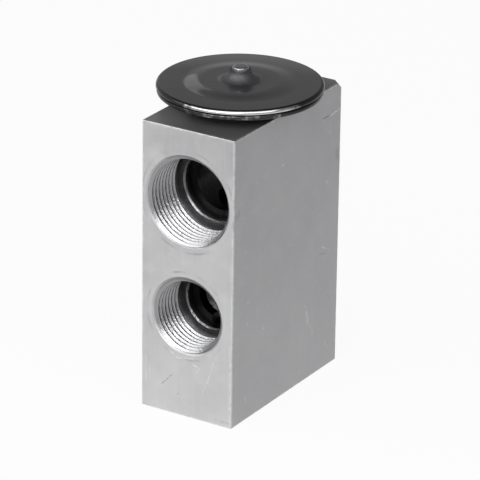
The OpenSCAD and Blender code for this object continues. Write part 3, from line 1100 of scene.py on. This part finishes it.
@dataclass
class Port:
    """One threaded port, by the values that its dressing needs.

    Attributes:
        mount: The record's mount, which gives its height and wall radius.
        face: The face that it opens in.
        chamfer: Width of the chamfer at its mouth.
        socket: Depth of the threaded socket.
        groove: Width of the run-out groove.
        inside: How far inside the chamfer's lower fifth the thread's middle line starts.
        into_groove: How far it runs on into the groove.
    """

    mount: str
    face: Face
    chamfer: float
    socket: float
    groove: float = 1.5
    inside: float = 0.06
    into_groove: float = 0.15

    def seat(self) -> tuple[float, float]:
        """Gives the axis height and the wall radius in mm, from the record."""
        mount = next(m for m in frame["record"]["mounts"] if m["name"] == self.mount)
        return mount["pos_m"][2] / MM, mount["dims"]["r_mm"]

    def thread(self) -> PortThread:
        """Gives the port's thread, from inside its chamfer to its run-out groove.

        Returns:
            The thread, not yet built.
        """
        height, radius = self.seat()
        return PortThread(f"{self.mount}_thread", self.face, height, radius,
                          start=self.chamfer * 0.2 + self.inside,
                          stop=self.socket - self.groove + self.into_groove)


@dataclass
class Nick:
    """A small dent cut into the block as a three sided groove.

    Attributes:
        start: One end of the groove's bottom line, in mm.
        end: The other end.
        normal: The way out of the metal.
        width: Width of the groove at the surface.
        depth: Its depth.
    """

    start: tuple[float, float, float]
    end: tuple[float, float, float]
    normal: tuple[float, float, float]
    width: float
    depth: float

    def cutter(self, work: bmesh.types.BMesh) -> None:
        """Adds the groove's cutter, a long double pyramid, to a mesh.

        Args:
            work: The mesh that holds the cutters.
        """
        start, end = (Vector(p) * MM for p in (self.start, self.end))
        out = Vector(self.normal).normalized()
        run = (end - start).normalized()
        side = out.cross(run)
        middle = (start + end) / 2
        reach = (end - start).length / 2
        lip, top = side * self.width * MM / 2, out * self.depth * MM
        # The lips lie a little above the surface, so that the cut has no faces flush with it
        proud = top * 0.02
        ring = [work.verts.new(middle + corner) for corner in (lip + proud, -top, proud - lip, top)]
        ends = [work.verts.new(middle + run * reach * way) for way in (-1, 1)]
        for i in range(4):
            work.faces.new((ring[i], ring[(i + 1) % 4], ends[0]))
            work.faces.new((ring[(i + 1) % 4], ring[i], ends[1]))


@dataclass
class BlockBody:
    """The aluminium block with its four ports.

    Attributes:
        ports: The ports.
        marks: Scratches and scuffs that show in the finish.
        nicks: Dents that are cut into the metal.
        skin_depth: How far inside the outer faces the bar's skin still counts, so that it takes the chamfers.
        edge_band: How near to an outer face an edge counts as lying on it.
    """

    ports: tuple[Port, ...] = (
        Port("suction_outlet", Face.FRONT, 0.5, 13.3),
        Port("liquid_inlet", Face.FRONT, 0.75, 12.1),
        Port("suction_inlet", Face.REAR, 0.5, 13.3),
        Port("evaporator_outlet", Face.REAR, 0.75, 12.1),
    )
    marks: tuple[Mark, ...] = (
        Mark(Face.FRONT, (-7.8, 7.2), (-4.6, 10.6), 0.2, Tone.DARK, 0.7),
        Mark(Face.FRONT, (-4.6, 10.6), (-3.8, 12.4), 0.2, Tone.DARK, 0.3),
        Mark(Face.FRONT, (-8.4, 7.3), (-7.2, 7.2), 0.2, Tone.LIGHT, 0.6),
        Mark(Face.FRONT, (-2.7, 6.0), (-1.9, 4.8), 0.2, Tone.DARK, 0.6),
        Mark(Face.FRONT, (-3.4, 6.6), (-2.7, 6.0), 0.2, Tone.LIGHT, 0.5),
        Mark(Face.FRONT, (8.1, 17.2), (6.6, 12.1), 0.3, Tone.LIGHT, 0.35, 1.0),
        Mark(Face.FRONT, (6.6, 12.1), (4.2, 6.2), 0.3, Tone.LIGHT, 0.35, 1.0),
        Mark(Face.FRONT, (2.0, 15.2), (4.1, 14.7), 0.25, Tone.LIGHT, 0.7),
        Mark(Face.FRONT, (4.1, 14.7), (2.7, 12.8), 0.25, Tone.LIGHT, 0.3),
        Mark(Face.FRONT, (-5.4, 17.6), (-2.6, 16.0), 0.3, Tone.LIGHT, 0.6),
        Mark(Face.FRONT, (-2.6, 16.0), (2.0, 16.9), 0.3, Tone.LIGHT, 0.4, 1.0),
        Mark(Face.FRONT, (9.1, 1.5), (13.4, 1.3), 0.7, Tone.DARK, 0.25, 1.0),
        Mark(Face.FRONT, (13.0, 22.5), (13.0, 0.6), 0.45, Tone.LIGHT, 0.3, 1.0),
        Mark(Face.FRONT, (-12.6, 14.0), (-12.3, 8.0), 0.4, Tone.LIGHT, 0.3, 1.0),
        Mark(Face.FRONT, (-11.4, 12.0), (-11.2, 7.5), 0.3, Tone.LIGHT, 0.25, 1.0),
        Mark(Face.RIGHT, (16.8, 71.4), (20.3, 71.5), 0.25, Tone.DARK, 0.5),
        Mark(Face.RIGHT, (20.3, 71.1), (25.6, 71.7), 0.22, Tone.LIGHT, 0.8),
        Mark(Face.RIGHT, (17.6, 35.4), (21.6, 33.2), 0.25, Tone.LIGHT, 0.5),
        Mark(Face.RIGHT, (19.5, 35.3), (19.7, 32.6), 0.22, Tone.DARK, 0.45),
        Mark(Face.RIGHT, (15.7, 34.0), (19.3, 32.9), 0.22, Tone.DARK, 0.4),
        Mark(Face.RIGHT, (9.6, 21.5), (11.3, 16.2), 0.9, Tone.LIGHT, 0.28, 1.0),
        Mark(Face.RIGHT, (11.3, 16.2), (14.3, 11.1), 0.7, Tone.LIGHT, 0.24, 1.0),
        Mark(Face.RIGHT, (21.2, 20.4), (22.3, 18.9), 0.3, Tone.DARK, 0.3, 1.0),
        Mark(Face.RIGHT, (20.3, 7.0), (21.6, 4.9), 0.35, Tone.LIGHT, 0.3, 1.0),
        Mark(Face.RIGHT, (-19.6, 6.8), (-19.1, 5.2), 0.3, Tone.LIGHT, 0.4, 1.0),
    )
    nicks: tuple[Nick, ...] = (
        Nick((13.75, -25.6, 79.0), (13.75, -26.0, 77.9), (1.0, -1.0, 0.4), 0.8, 0.3),
        Nick((13.75, -26.0, 74.4), (13.75, -26.0, 73.0), (1.0, -1.0, 0.0), 0.7, 0.28),
        Nick((-7.8, -26.0, 7.2), (-4.6, -26.0, 10.6), (0.0, -1.0, 0.0), 0.3, 0.09),
        Nick((-2.7, -26.0, 6.0), (-1.8, -26.0, 4.7), (0.0, -1.0, 0.0), 0.32, 0.1),
        Nick((13.75, 19.5, 35.5), (13.75, 19.7, 32.4), (1.0, 0.0, 0.0), 0.35, 0.1),
        Nick((13.75, 15.7, 34.0), (13.75, 19.4, 32.9), (1.0, 0.0, 0.0), 0.3, 0.08),
        Nick((13.75, 16.8, 71.3), (13.75, 20.4, 71.5), (1.0, 0.0, 0.0), 0.35, 0.1),
    )
    skin_depth: float = 0.6
    edge_band: float = 0.4

    def measure(self) -> tuple[Vector, float]:
        """Gives half the block's width and depth, and its height, in metres, from the frame."""
        low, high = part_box("valve_block")
        return (high - low) / 2, high.z - low.z

    def cut_copy(self) -> bpy.types.Object:
        """Copies the block's solid with its doubles merged, and cuts the nicks into it.

        Returns:
            The block's shown piece.
        """
        block = finished(merged_copy("valve_block"), "block_solid")
        work = bmesh.new()
        for nick in self.nicks:
            nick.cutter(work)
        bmesh.ops.recalc_face_normals(work, faces=work.faces)
        cutters = finished(work, "nick_cutters")
        cut = block.modifiers.new("nicks", "BOOLEAN")
        cut.operation, cut.solver, cut.object = "DIFFERENCE", "EXACT", cutters
        piece = baked(block, "machined_block")
        bpy.data.objects.remove(cutters, do_unlink=True)
        return piece

    def shade(self, piece: bpy.types.Object) -> bpy.types.Object:
        """Keeps machined edges crisp, and lets the broken outer edges catch a soft line of light.

        Args:
            piece: The block.

        Returns:
            The block with its shading normals set.
        """
        half, height = self.measure()
        band = self.edge_band * MM

        def outer(edge: bmesh.types.BMEdge) -> bool:
            """Says whether an edge runs along the block's outer corners.

            Args:
                edge: The edge.

            Returns:
                True where it lies near two of the outer faces and isn't steep.
            """
            middle = (edge.verts[0].co + edge.verts[1].co) / 2
            near = [abs(abs(middle.x) - half.x) < band, abs(abs(middle.y) - half.y) < band,
                    min(abs(middle.z), abs(middle.z - height)) < band]
            return sum(near) >= 2 and edge.calc_face_angle(0.0) < math.radians(60)

        sharpen(piece.data, 25, outer)
        weighted = piece.modifiers.new("soft_edges", "WEIGHTED_NORMAL")
        weighted.keep_sharp = True
        weighted.weight = 90
        return baked(piece, piece.name)

    def paint(self, piece: bpy.types.Object, skin: bpy.types.Material, bore: bpy.types.Material) -> None:
        """Gives the outer faces and chamfers the block's skin, and every cut inside the turned finish.

        Args:
            piece: The block.
            skin: The finish of the outer faces.
            bore: The finish of the bores.
        """
        piece.data.materials.clear()
        for material in (skin, bore):
            piece.data.materials.append(material)
        half, height = self.measure()
        for side in piece.data.polygons:
            at = side.center
            margins = (half.x - abs(at.x), half.y - abs(at.y), at.z, height - at.z)
            side.material_index = int(min(margins) > self.skin_depth * MM)

    def build(self, skin: bpy.types.Material, bore: bpy.types.Material) -> list[bpy.types.Object]:
        """Builds the block and its threads, and puts them on their body.

        Args:
            skin: The finish of the outer faces.
            bore: The finish of the bores and threads.

        Returns:
            The pieces.
        """
        block = self.shade(self.cut_copy())
        self.paint(block, skin, bore)
        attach(block, "block")
        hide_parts("valve_block")
        half, _ = self.measure()
        threads = [port.thread() for port in self.ports]
        tree = threads[0].tree()
        pieces = [block]
        for thread in threads:
            piece = thread.build(tree, bore, half.y)
            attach(piece, "block")
            pieces.append(piece)
        return pieces


@dataclass
class PowerHead:
    """The diaphragm head: pressed cover, base shell with its neck, and the plug of the charge hole.

    Attributes:
        cover_t: Thickness of the cover's sheet.
        base_t: Thickness of the base shell's sheet.
        roll: Radius of the cover's rounded rim.
        crown_in: Radius at which the crown's slope starts.
        crown_out: Radius at which it ends.
        crown_rise: Height of the crown.
        boss_r: Radius of the boss at its top.
        boss_foot: Radius at which the boss starts to rise.
        button_r: Radius of the plug's button.
        shank_r: Radius of its shank.
        cup_r: Outer radius of the base shell's cup.
        cup_floor: Thickness of the cup's floor.
        neck_bore_r: Radius of the hole through the neck.
        neck_r: Radius of the neck, which has a running gap in the block.
        neck_chamfer: Chamfer at the neck's end.
        rolled: Radius of the base shell's edge, as a share of its thickness.
    """

    cover_t: float = 1.2
    base_t: float = 1.25
    roll: float = 0.96
    crown_in: float = 9.5
    crown_out: float = 15.5
    crown_rise: float = 0.55
    boss_r: float = 2.9
    boss_foot: float = 6.2
    button_r: float = 2.1
    shank_r: float = 1.4
    cup_r: float = 13.3
    cup_floor: float = 1.0
    neck_bore_r: float = 7.5
    neck_r: float = 9.95
    neck_chamfer: float = 0.5
    rolled: float = 0.35

    def axis_y(self) -> float:
        """Gives the stem axis's place in metres, from the frame."""
        low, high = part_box("head_cover")
        return (low.y + high.y) / 2

    def cover(self) -> bpy.types.Object:
        """Turns the cover: rounded rim, flat ring, low crown and the boss round the plug.

        Returns:
            The cover.
        """
        low, high = (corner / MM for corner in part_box("head_cover"))
        rim_r = (high.x - low.x) / 2
        rim_top = low.z + self.cover_t
        crown_top = rim_top + self.crown_rise
        boss_top = high.z
        edge = self.cover_t - self.roll
        profile = [(self.shank_r, boss_top),
                   *flare((self.boss_foot, crown_top), (self.boss_r, boss_top))[::-1],
                   *s_bend((self.crown_in, crown_top), (self.crown_out, rim_top)),
                   *arc((rim_r - self.roll, rim_top - self.roll), self.roll, 90, 0),
                   *arc((rim_r - edge, low.z + edge), edge, 0, -90, 4),
                   *s_bend((self.crown_in, crown_top - self.cover_t), (self.crown_out, low.z))[::-1],
                   (self.shank_r, crown_top - self.cover_t)]
        return lathe("pressed_cover", profile, self.axis_y())

    def base(self) -> bpy.types.Object:
        """Turns the base shell: rim flange, cup on the block and the neck inside it.

        Returns:
            The base shell.
        """
        low, high = (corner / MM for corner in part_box("head_base"))
        rim_r = (high.x - low.x) / 2
        block_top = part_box("valve_block")[1].z / MM
        under = high.z - self.base_t
        edge = self.base_t * self.rolled
        cup_in = self.cup_r - self.base_t
        profile = [(self.neck_bore_r, low.z), (self.neck_r - self.neck_chamfer, low.z),
                   (self.neck_r, low.z + self.neck_chamfer), (self.neck_r, block_top),
                   (self.cup_r, block_top),
                   *arc((self.cup_r + self.base_t, under - self.base_t), self.base_t, 180, 90),
                   *arc((rim_r - edge, under + edge), edge, -90, 0, 8),
                   *arc((rim_r - edge, high.z - edge), edge, 0, 90, 8),
                   *arc((cup_in + self.base_t, high.z - self.base_t), self.base_t, 90, 180),
                   (cup_in, block_top + self.cup_floor), (self.neck_bore_r, block_top + self.cup_floor)]
        return lathe("head_shell", profile, self.axis_y())

    def plug(self) -> bpy.types.Object:
        """Turns the plug: shank in the cover and the rounded button on it.

        Returns:
            The plug.
        """
        low, high = (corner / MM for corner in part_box("charge_plug"))
        boss_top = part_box("head_cover")[1].z / MM
        edge = (high.z - boss_top) * 0.6
        profile = [(0.0, low.z), (self.shank_r, low.z), (self.shank_r, boss_top), (self.button_r, boss_top),
                   *arc((self.button_r - edge, high.z - edge), edge, 0, 90, 10), (0.0, high.z)]
        return lathe("fill_plug", profile, self.axis_y(), 96)

    def build(self, steel: bpy.types.Material) -> list[bpy.types.Object]:
        """Builds the three turned pieces and puts them on the block's body.

        Args:
            steel: The finish of the pressed steel.

        Returns:
            The pieces.
        """
        pieces = []
        for piece, node in ((self.cover(), "head_cover"), (self.base(), "head_base"),
                            (self.plug(), "charge_plug")):
            piece.data.materials.append(steel)
            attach(piece, "block")
            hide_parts(node)
            pieces.append(piece)
        return pieces


@dataclass
class MainSpring:
    """The coil spring, in two halves, one for each of its ends.

    Attributes:
        node: The solid that the halves stand for.
        still: The body of the cut in the middle, which no joint moves.
        upper: The body of the upper end.
        lower: The body of the lower end.
    """

    node: str = "main_spring"
    still: str = "block"
    upper: str = "stem"
    lower: str = "seat"

    def half(self, name: str, body: str, end: Vector, middle: Vector) -> bpy.types.Object:
        """Copies the half of the spring between its end and the middle, and closes its cut wire.

        Args:
            name: The piece's name.
            body: Not used.
            end: A point at the height of its end.
            middle: The point at half the spring's height.

        Returns:
            The half.
        """
        work = merged_copy(self.node)
        bmesh.ops.bisect_plane(work, geom=[*work.verts, *work.edges, *work.faces], plane_co=middle,
                               plane_no=(middle - end).normalized(), clear_outer=True)
        bmesh.ops.holes_fill(work, edges=[edge for edge in work.edges if edge.is_boundary])
        bmesh.ops.recalc_face_normals(work, faces=work.faces)
        piece = finished(work, name)
        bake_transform(piece)
        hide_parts(self.node)
        return piece

    def build(self, material: bpy.types.Material) -> list[bpy.types.Object]:
        """Builds both halves.

        Args:
            material: The finish of the spring wire.

        Returns:
            The pieces.
        """
        low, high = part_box(self.node)
        middle = (low + high) / 2
        top, foot = (Vector((middle.x, middle.y, z)) for z in (high.z, low.z))
        halves = [self.half("main_spring_upper_half", self.upper, top, middle),
                  self.half("main_spring_lower_half", self.lower, foot, middle)]
        for piece in halves:
            piece.data.materials.append(material)
        return halves


@dataclass
class InnerPieces:
    """The pieces inside the block and the head, which keep their solids and take a finish each.

    Attributes:
        rod_aluminium: Fine satin turning, a little darker in the tool lines.
        ground_steel: The brightest steel, for what slides and seats.
        spring_wire: Drawn wire and thin spring sheet, with a brownish temper.
        turned_brass: Warm yellow with dull patches.
        sheet_brass: The same, with the coarser lines of rolled sheet.
        rubber: Near black and matte.
        white_plastic: Warm white and fairly smooth.
    """

    rod_aluminium: PlainMetal = PlainMetal("turned_rod_aluminium", "#C4C4C6", 1.0, 0.32, "#9A9A9C", 0.3)
    ground_steel: PlainMetal = PlainMetal("ground_steel", "#A6A6AA", 1.0, 0.22, "#7E7E82", 0.2)
    spring_wire: PlainMetal = PlainMetal("drawn_spring_steel", "#8E8E92", 1.0, 0.3, "#5C5A58", 0.15)
    turned_brass: PlainMetal = PlainMetal("turned_brass", "#C9AE6A", 1.0, 0.3, "#8E7440", 0.25)
    sheet_brass: PlainMetal = PlainMetal("stamped_sheet_brass", "#CDB36E", 1.0, 0.34, "#97804A", 0.5)
    rubber: MouldedPolymer = MouldedPolymer("moulded_seal_rubber", "#1C1C1D", 0.0, 0.62, "#3A3A3A")
    white_plastic: MouldedPolymer = MouldedPolymer("moulded_white_plastic", "#DEDCD4", 0.0, 0.45, "#C2BFB4")

    def nodes(self) -> dict[Finish, tuple[str, ...]]:
        """Gives the nodes that take each finish.

        Returns:
            The names of the nodes, by finish.
        """
        return {
            self.rod_aluminium: ("sensing_rod",),
            self.ground_steel: ("diaphragm_plate", "push_pin", "valve_ball"),
            self.spring_wire: ("diaphragm", "damping_spring"),
            self.turned_brass: ("ball_carrier", "spring_seat", "adjusting_screw"),
            self.sheet_brass: ("lock_ring",),
            self.rubber: ("head_seal", "rod_seal", "screw_seal"),
            self.white_plastic: ("seal_washer",),
        }

    def dress(self) -> list[bpy.types.Object]:
        """Gives each inner node its finish, and builds the main spring.

        Returns:
            The pieces.
        """
        pieces = []
        for finish, names in self.nodes().items():
            material = finish.make()
            if finish is self.spring_wire:
                pieces += MainSpring().build(material)
            for name in names:
                piece = frame["nodes"][name]
                piece.data.materials.clear()
                piece.data.materials.append(material)
                pieces.append(piece)
        return pieces


@dataclass(frozen=True)
class Softbox:
    """A rectangular lamp that looks at the part.

    Attributes:
        name: Its name.
        azimuth: Degrees round from the front face towards the right one.
        elevation: Degrees above the floor.
        distance: Metres from the part.
        width: Metres.
        height: Metres.
        radiance: Brightness of its face, where 1 is white.
    """

    name: str
    azimuth: float
    elevation: float
    distance: float
    width: float
    height: float
    radiance: float

    def hang(self, target: Vector) -> None:
        """Makes the lamp and turns it to the target.

        Args:
            target: The point that it looks at, in metres.
        """
        lamp = bpy.data.lights.new(self.name, "AREA")
        lamp.shape = "RECTANGLE"
        lamp.size, lamp.size_y = self.width, self.height
        lamp.energy = self.radiance * math.pi * self.width * self.height
        obj = bpy.data.objects.new(self.name, lamp)
        bpy.context.scene.collection.objects.link(obj)
        away = towards(self.azimuth, self.elevation)
        obj.location = target + away * self.distance
        obj.rotation_euler = away.to_track_quat("Z", "Y").to_euler()


def towards(azimuth: float, elevation: float) -> Vector:
    """Gives the unit vector from the part to a place round it, from degrees about and above it."""
    a, e = math.radians(azimuth), math.radians(elevation)
    return Vector((math.sin(a) * math.cos(e), -math.cos(a) * math.cos(e), math.sin(e)))


@dataclass
class Studio:
    """Camera, pale floor and soft light.

    Attributes:
        azimuth: Camera's degrees round from the front face.
        elevation: Camera's degrees above the floor.
        roll: Camera's degrees about its own axis.
        distance: Camera's distance from the aim, in metres.
        aim: The point that the camera looks past, in metres.
        aside: How far the camera sits to its right and up, in metres.
        lens: Focal length in mm.
        sensor: Sensor width in mm.
        floor_r: Radius of the floor in metres.
        floor_gap: How far the floor lies under the base, in mm, so that the two don't flicker.
        floor_white: Share of plain white in the floor as it is seen.
        lamps: The softboxes.
    """

    azimuth: float = 31.82
    elevation: float = 22.76
    roll: float = 0.753
    distance: float = 0.9666
    aim: Vector = field(default_factory=lambda: Vector((0.0, 0.0, 0.0395)))
    aside: Point = (-0.000416, 0.000721)
    lens: float = 280.07
    sensor: float = 36.0
    floor_r: float = 4.0
    floor_gap: float = 0.02
    floor_white: float = 0.94
    lamps: tuple[Softbox, ...] = (
        Softbox("overhead", 36, 46, 1.4, 2.2, 1.1, 2.1),
        Softbox("front", 6, 29, 1.4, 1.25, 0.6, 4.2),
        Softbox("left", -46, 33, 1.3, 1.1, 0.6, 3.4),
        Softbox("side_card", -118, 21, 1.5, 1.3, 0.6, 0.38),
    )

    def camera(self) -> None:
        """Places the camera as the photograph was taken."""
        back = towards(self.azimuth, self.elevation)
        level = Vector((math.cos(math.radians(self.azimuth)), math.sin(math.radians(self.azimuth)), 0.0))
        up = back.cross(level)
        roll = math.radians(self.roll)
        right = level * math.cos(roll) + up * math.sin(roll)
        top = up * math.cos(roll) - level * math.sin(roll)
        data = bpy.data.cameras.new("photo_camera")
        data.sensor_width, data.lens = self.sensor, self.lens
        data.clip_start, data.clip_end = 0.01, 50.0
        camera = bpy.data.objects.new("photo_camera", data)
        bpy.context.scene.collection.objects.link(camera)
        turn = Matrix((right, top, back)).transposed().to_4x4()
        place = self.aim + back * self.distance + right * self.aside[0] + top * self.aside[1]
        camera.matrix_world = Matrix.Translation(place) @ turn
        bpy.context.scene.camera = camera

    def floor(self) -> None:
        """Lays the pale floor, which shows white to the camera and in the metal but keeps the shadow."""
        work = bmesh.new()
        bmesh.ops.create_circle(work, cap_ends=True, segments=64, radius=self.floor_r)
        floor = finished(work, "floor")
        floor.location.z = -self.floor_gap * MM
        material = bpy.data.materials.new("matt_white_paper")
        tree = emptied(material)
        place = add(tree, "TexCoord").outputs["Object"]
        # Paper scatters all light evenly, with a barely visible tooth of about 2 mm
        tooth = patches(tree, place, 2.0, 0.3, 0.7)
        tone = add(tree, "Mix", {
            "Factor_Float": tooth, "A_Color": linear("#C6C6C6"), "B_Color": linear("#CECECE")},
            data_type="RGBA")
        paper = add(tree, "BsdfDiffuse", {"Color": tone})
        # White to the camera and in the metal, with the shadow left in by a share of the lit paper
        white = add(tree, "Emission", {"Color": linear("#FFFFFF"), "Strength": 1.0})
        rays = add(tree, "LightPath").outputs
        kinds = ("Camera", "Glossy", "Transmission")
        seen = total(tree, "MAXIMUM", [rays[f"Is {kind} Ray"] for kind in kinds])
        share = add(tree, "Math.MULTIPLY", (seen, self.floor_white))
        both = add(tree, "MixShader", (share, paper, white))
        add(tree, "OutputMaterial", {"Surface": both})
        floor.data.materials.append(material)

    def sky(self) -> None:
        """Sets the room: pale at the horizon, darker overhead, the same for every ray."""
        world = bpy.data.worlds.new("room")
        tree = emptied(world)
        way = add(tree, "TexCoord").outputs["Generated"]
        _, _, height = add(tree, "SeparateXYZ", (way,)).outputs
        ramp = add(tree, "ValToRGB", (height,))
        stops = ((0.0, "#A8A8A8"), (0.2, "#989898"), (0.32, "#939393"),
                 (0.55, "#8C8C8C"), (0.75, "#484848"), (0.9, "#2A2A2A"))
        while len(ramp.color_ramp.elements) < len(stops):
            ramp.color_ramp.elements.new(0.5)
        for element, (at, code) in zip(ramp.color_ramp.elements, stops):
            element.position, element.color = at, linear(code)
        light = add(tree, "Background", (ramp,))
        add(tree, "OutputWorld", {"Surface": light})
        bpy.context.scene.world = world

    def build(self) -> None:
        """Builds the whole studio."""
        self.camera()
        self.floor()
        self.sky()
        for lamp in self.lamps:
            lamp.hang(self.aim)
        bpy.context.scene.view_settings.view_transform = "Standard"


def main() -> None:
    """Builds the studio, the block, the head and the inner pieces, and reports each."""
    logging.basicConfig(level=logging.INFO, format="%(name)s: %(message)s")
    Studio().build()
    body = BlockBody()
    half, height = body.measure()
    mouths = tuple((port.face, port.seat()[0], port.seat()[1] + port.chamfer) for port in body.ports)
    skin = ExtrudedAluminium("extruded_aluminium", "#AFAFB0", 0.7, 0.4, half, height, mouths, body.marks)
    bore = TurnedAluminium("turned_aluminium", "#98989A", 1.0, 0.22, half.y)
    head = PowerHead()
    steel = PressedSteel("plated_pressed_steel", "#636365", 0.9, 0.09, head.axis_y(),
                         seam_z=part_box("head_cover")[0].z / MM - SEAM_BELOW)
    pieces = [*body.build(skin.make(), bore.make()), *head.build(steel.make()), *InnerPieces().dress()]
    for piece in pieces:
        LOG.info("%s: %d faces", piece.name, len(piece.data.polygons))


if __name__ == "__main__":
    main()
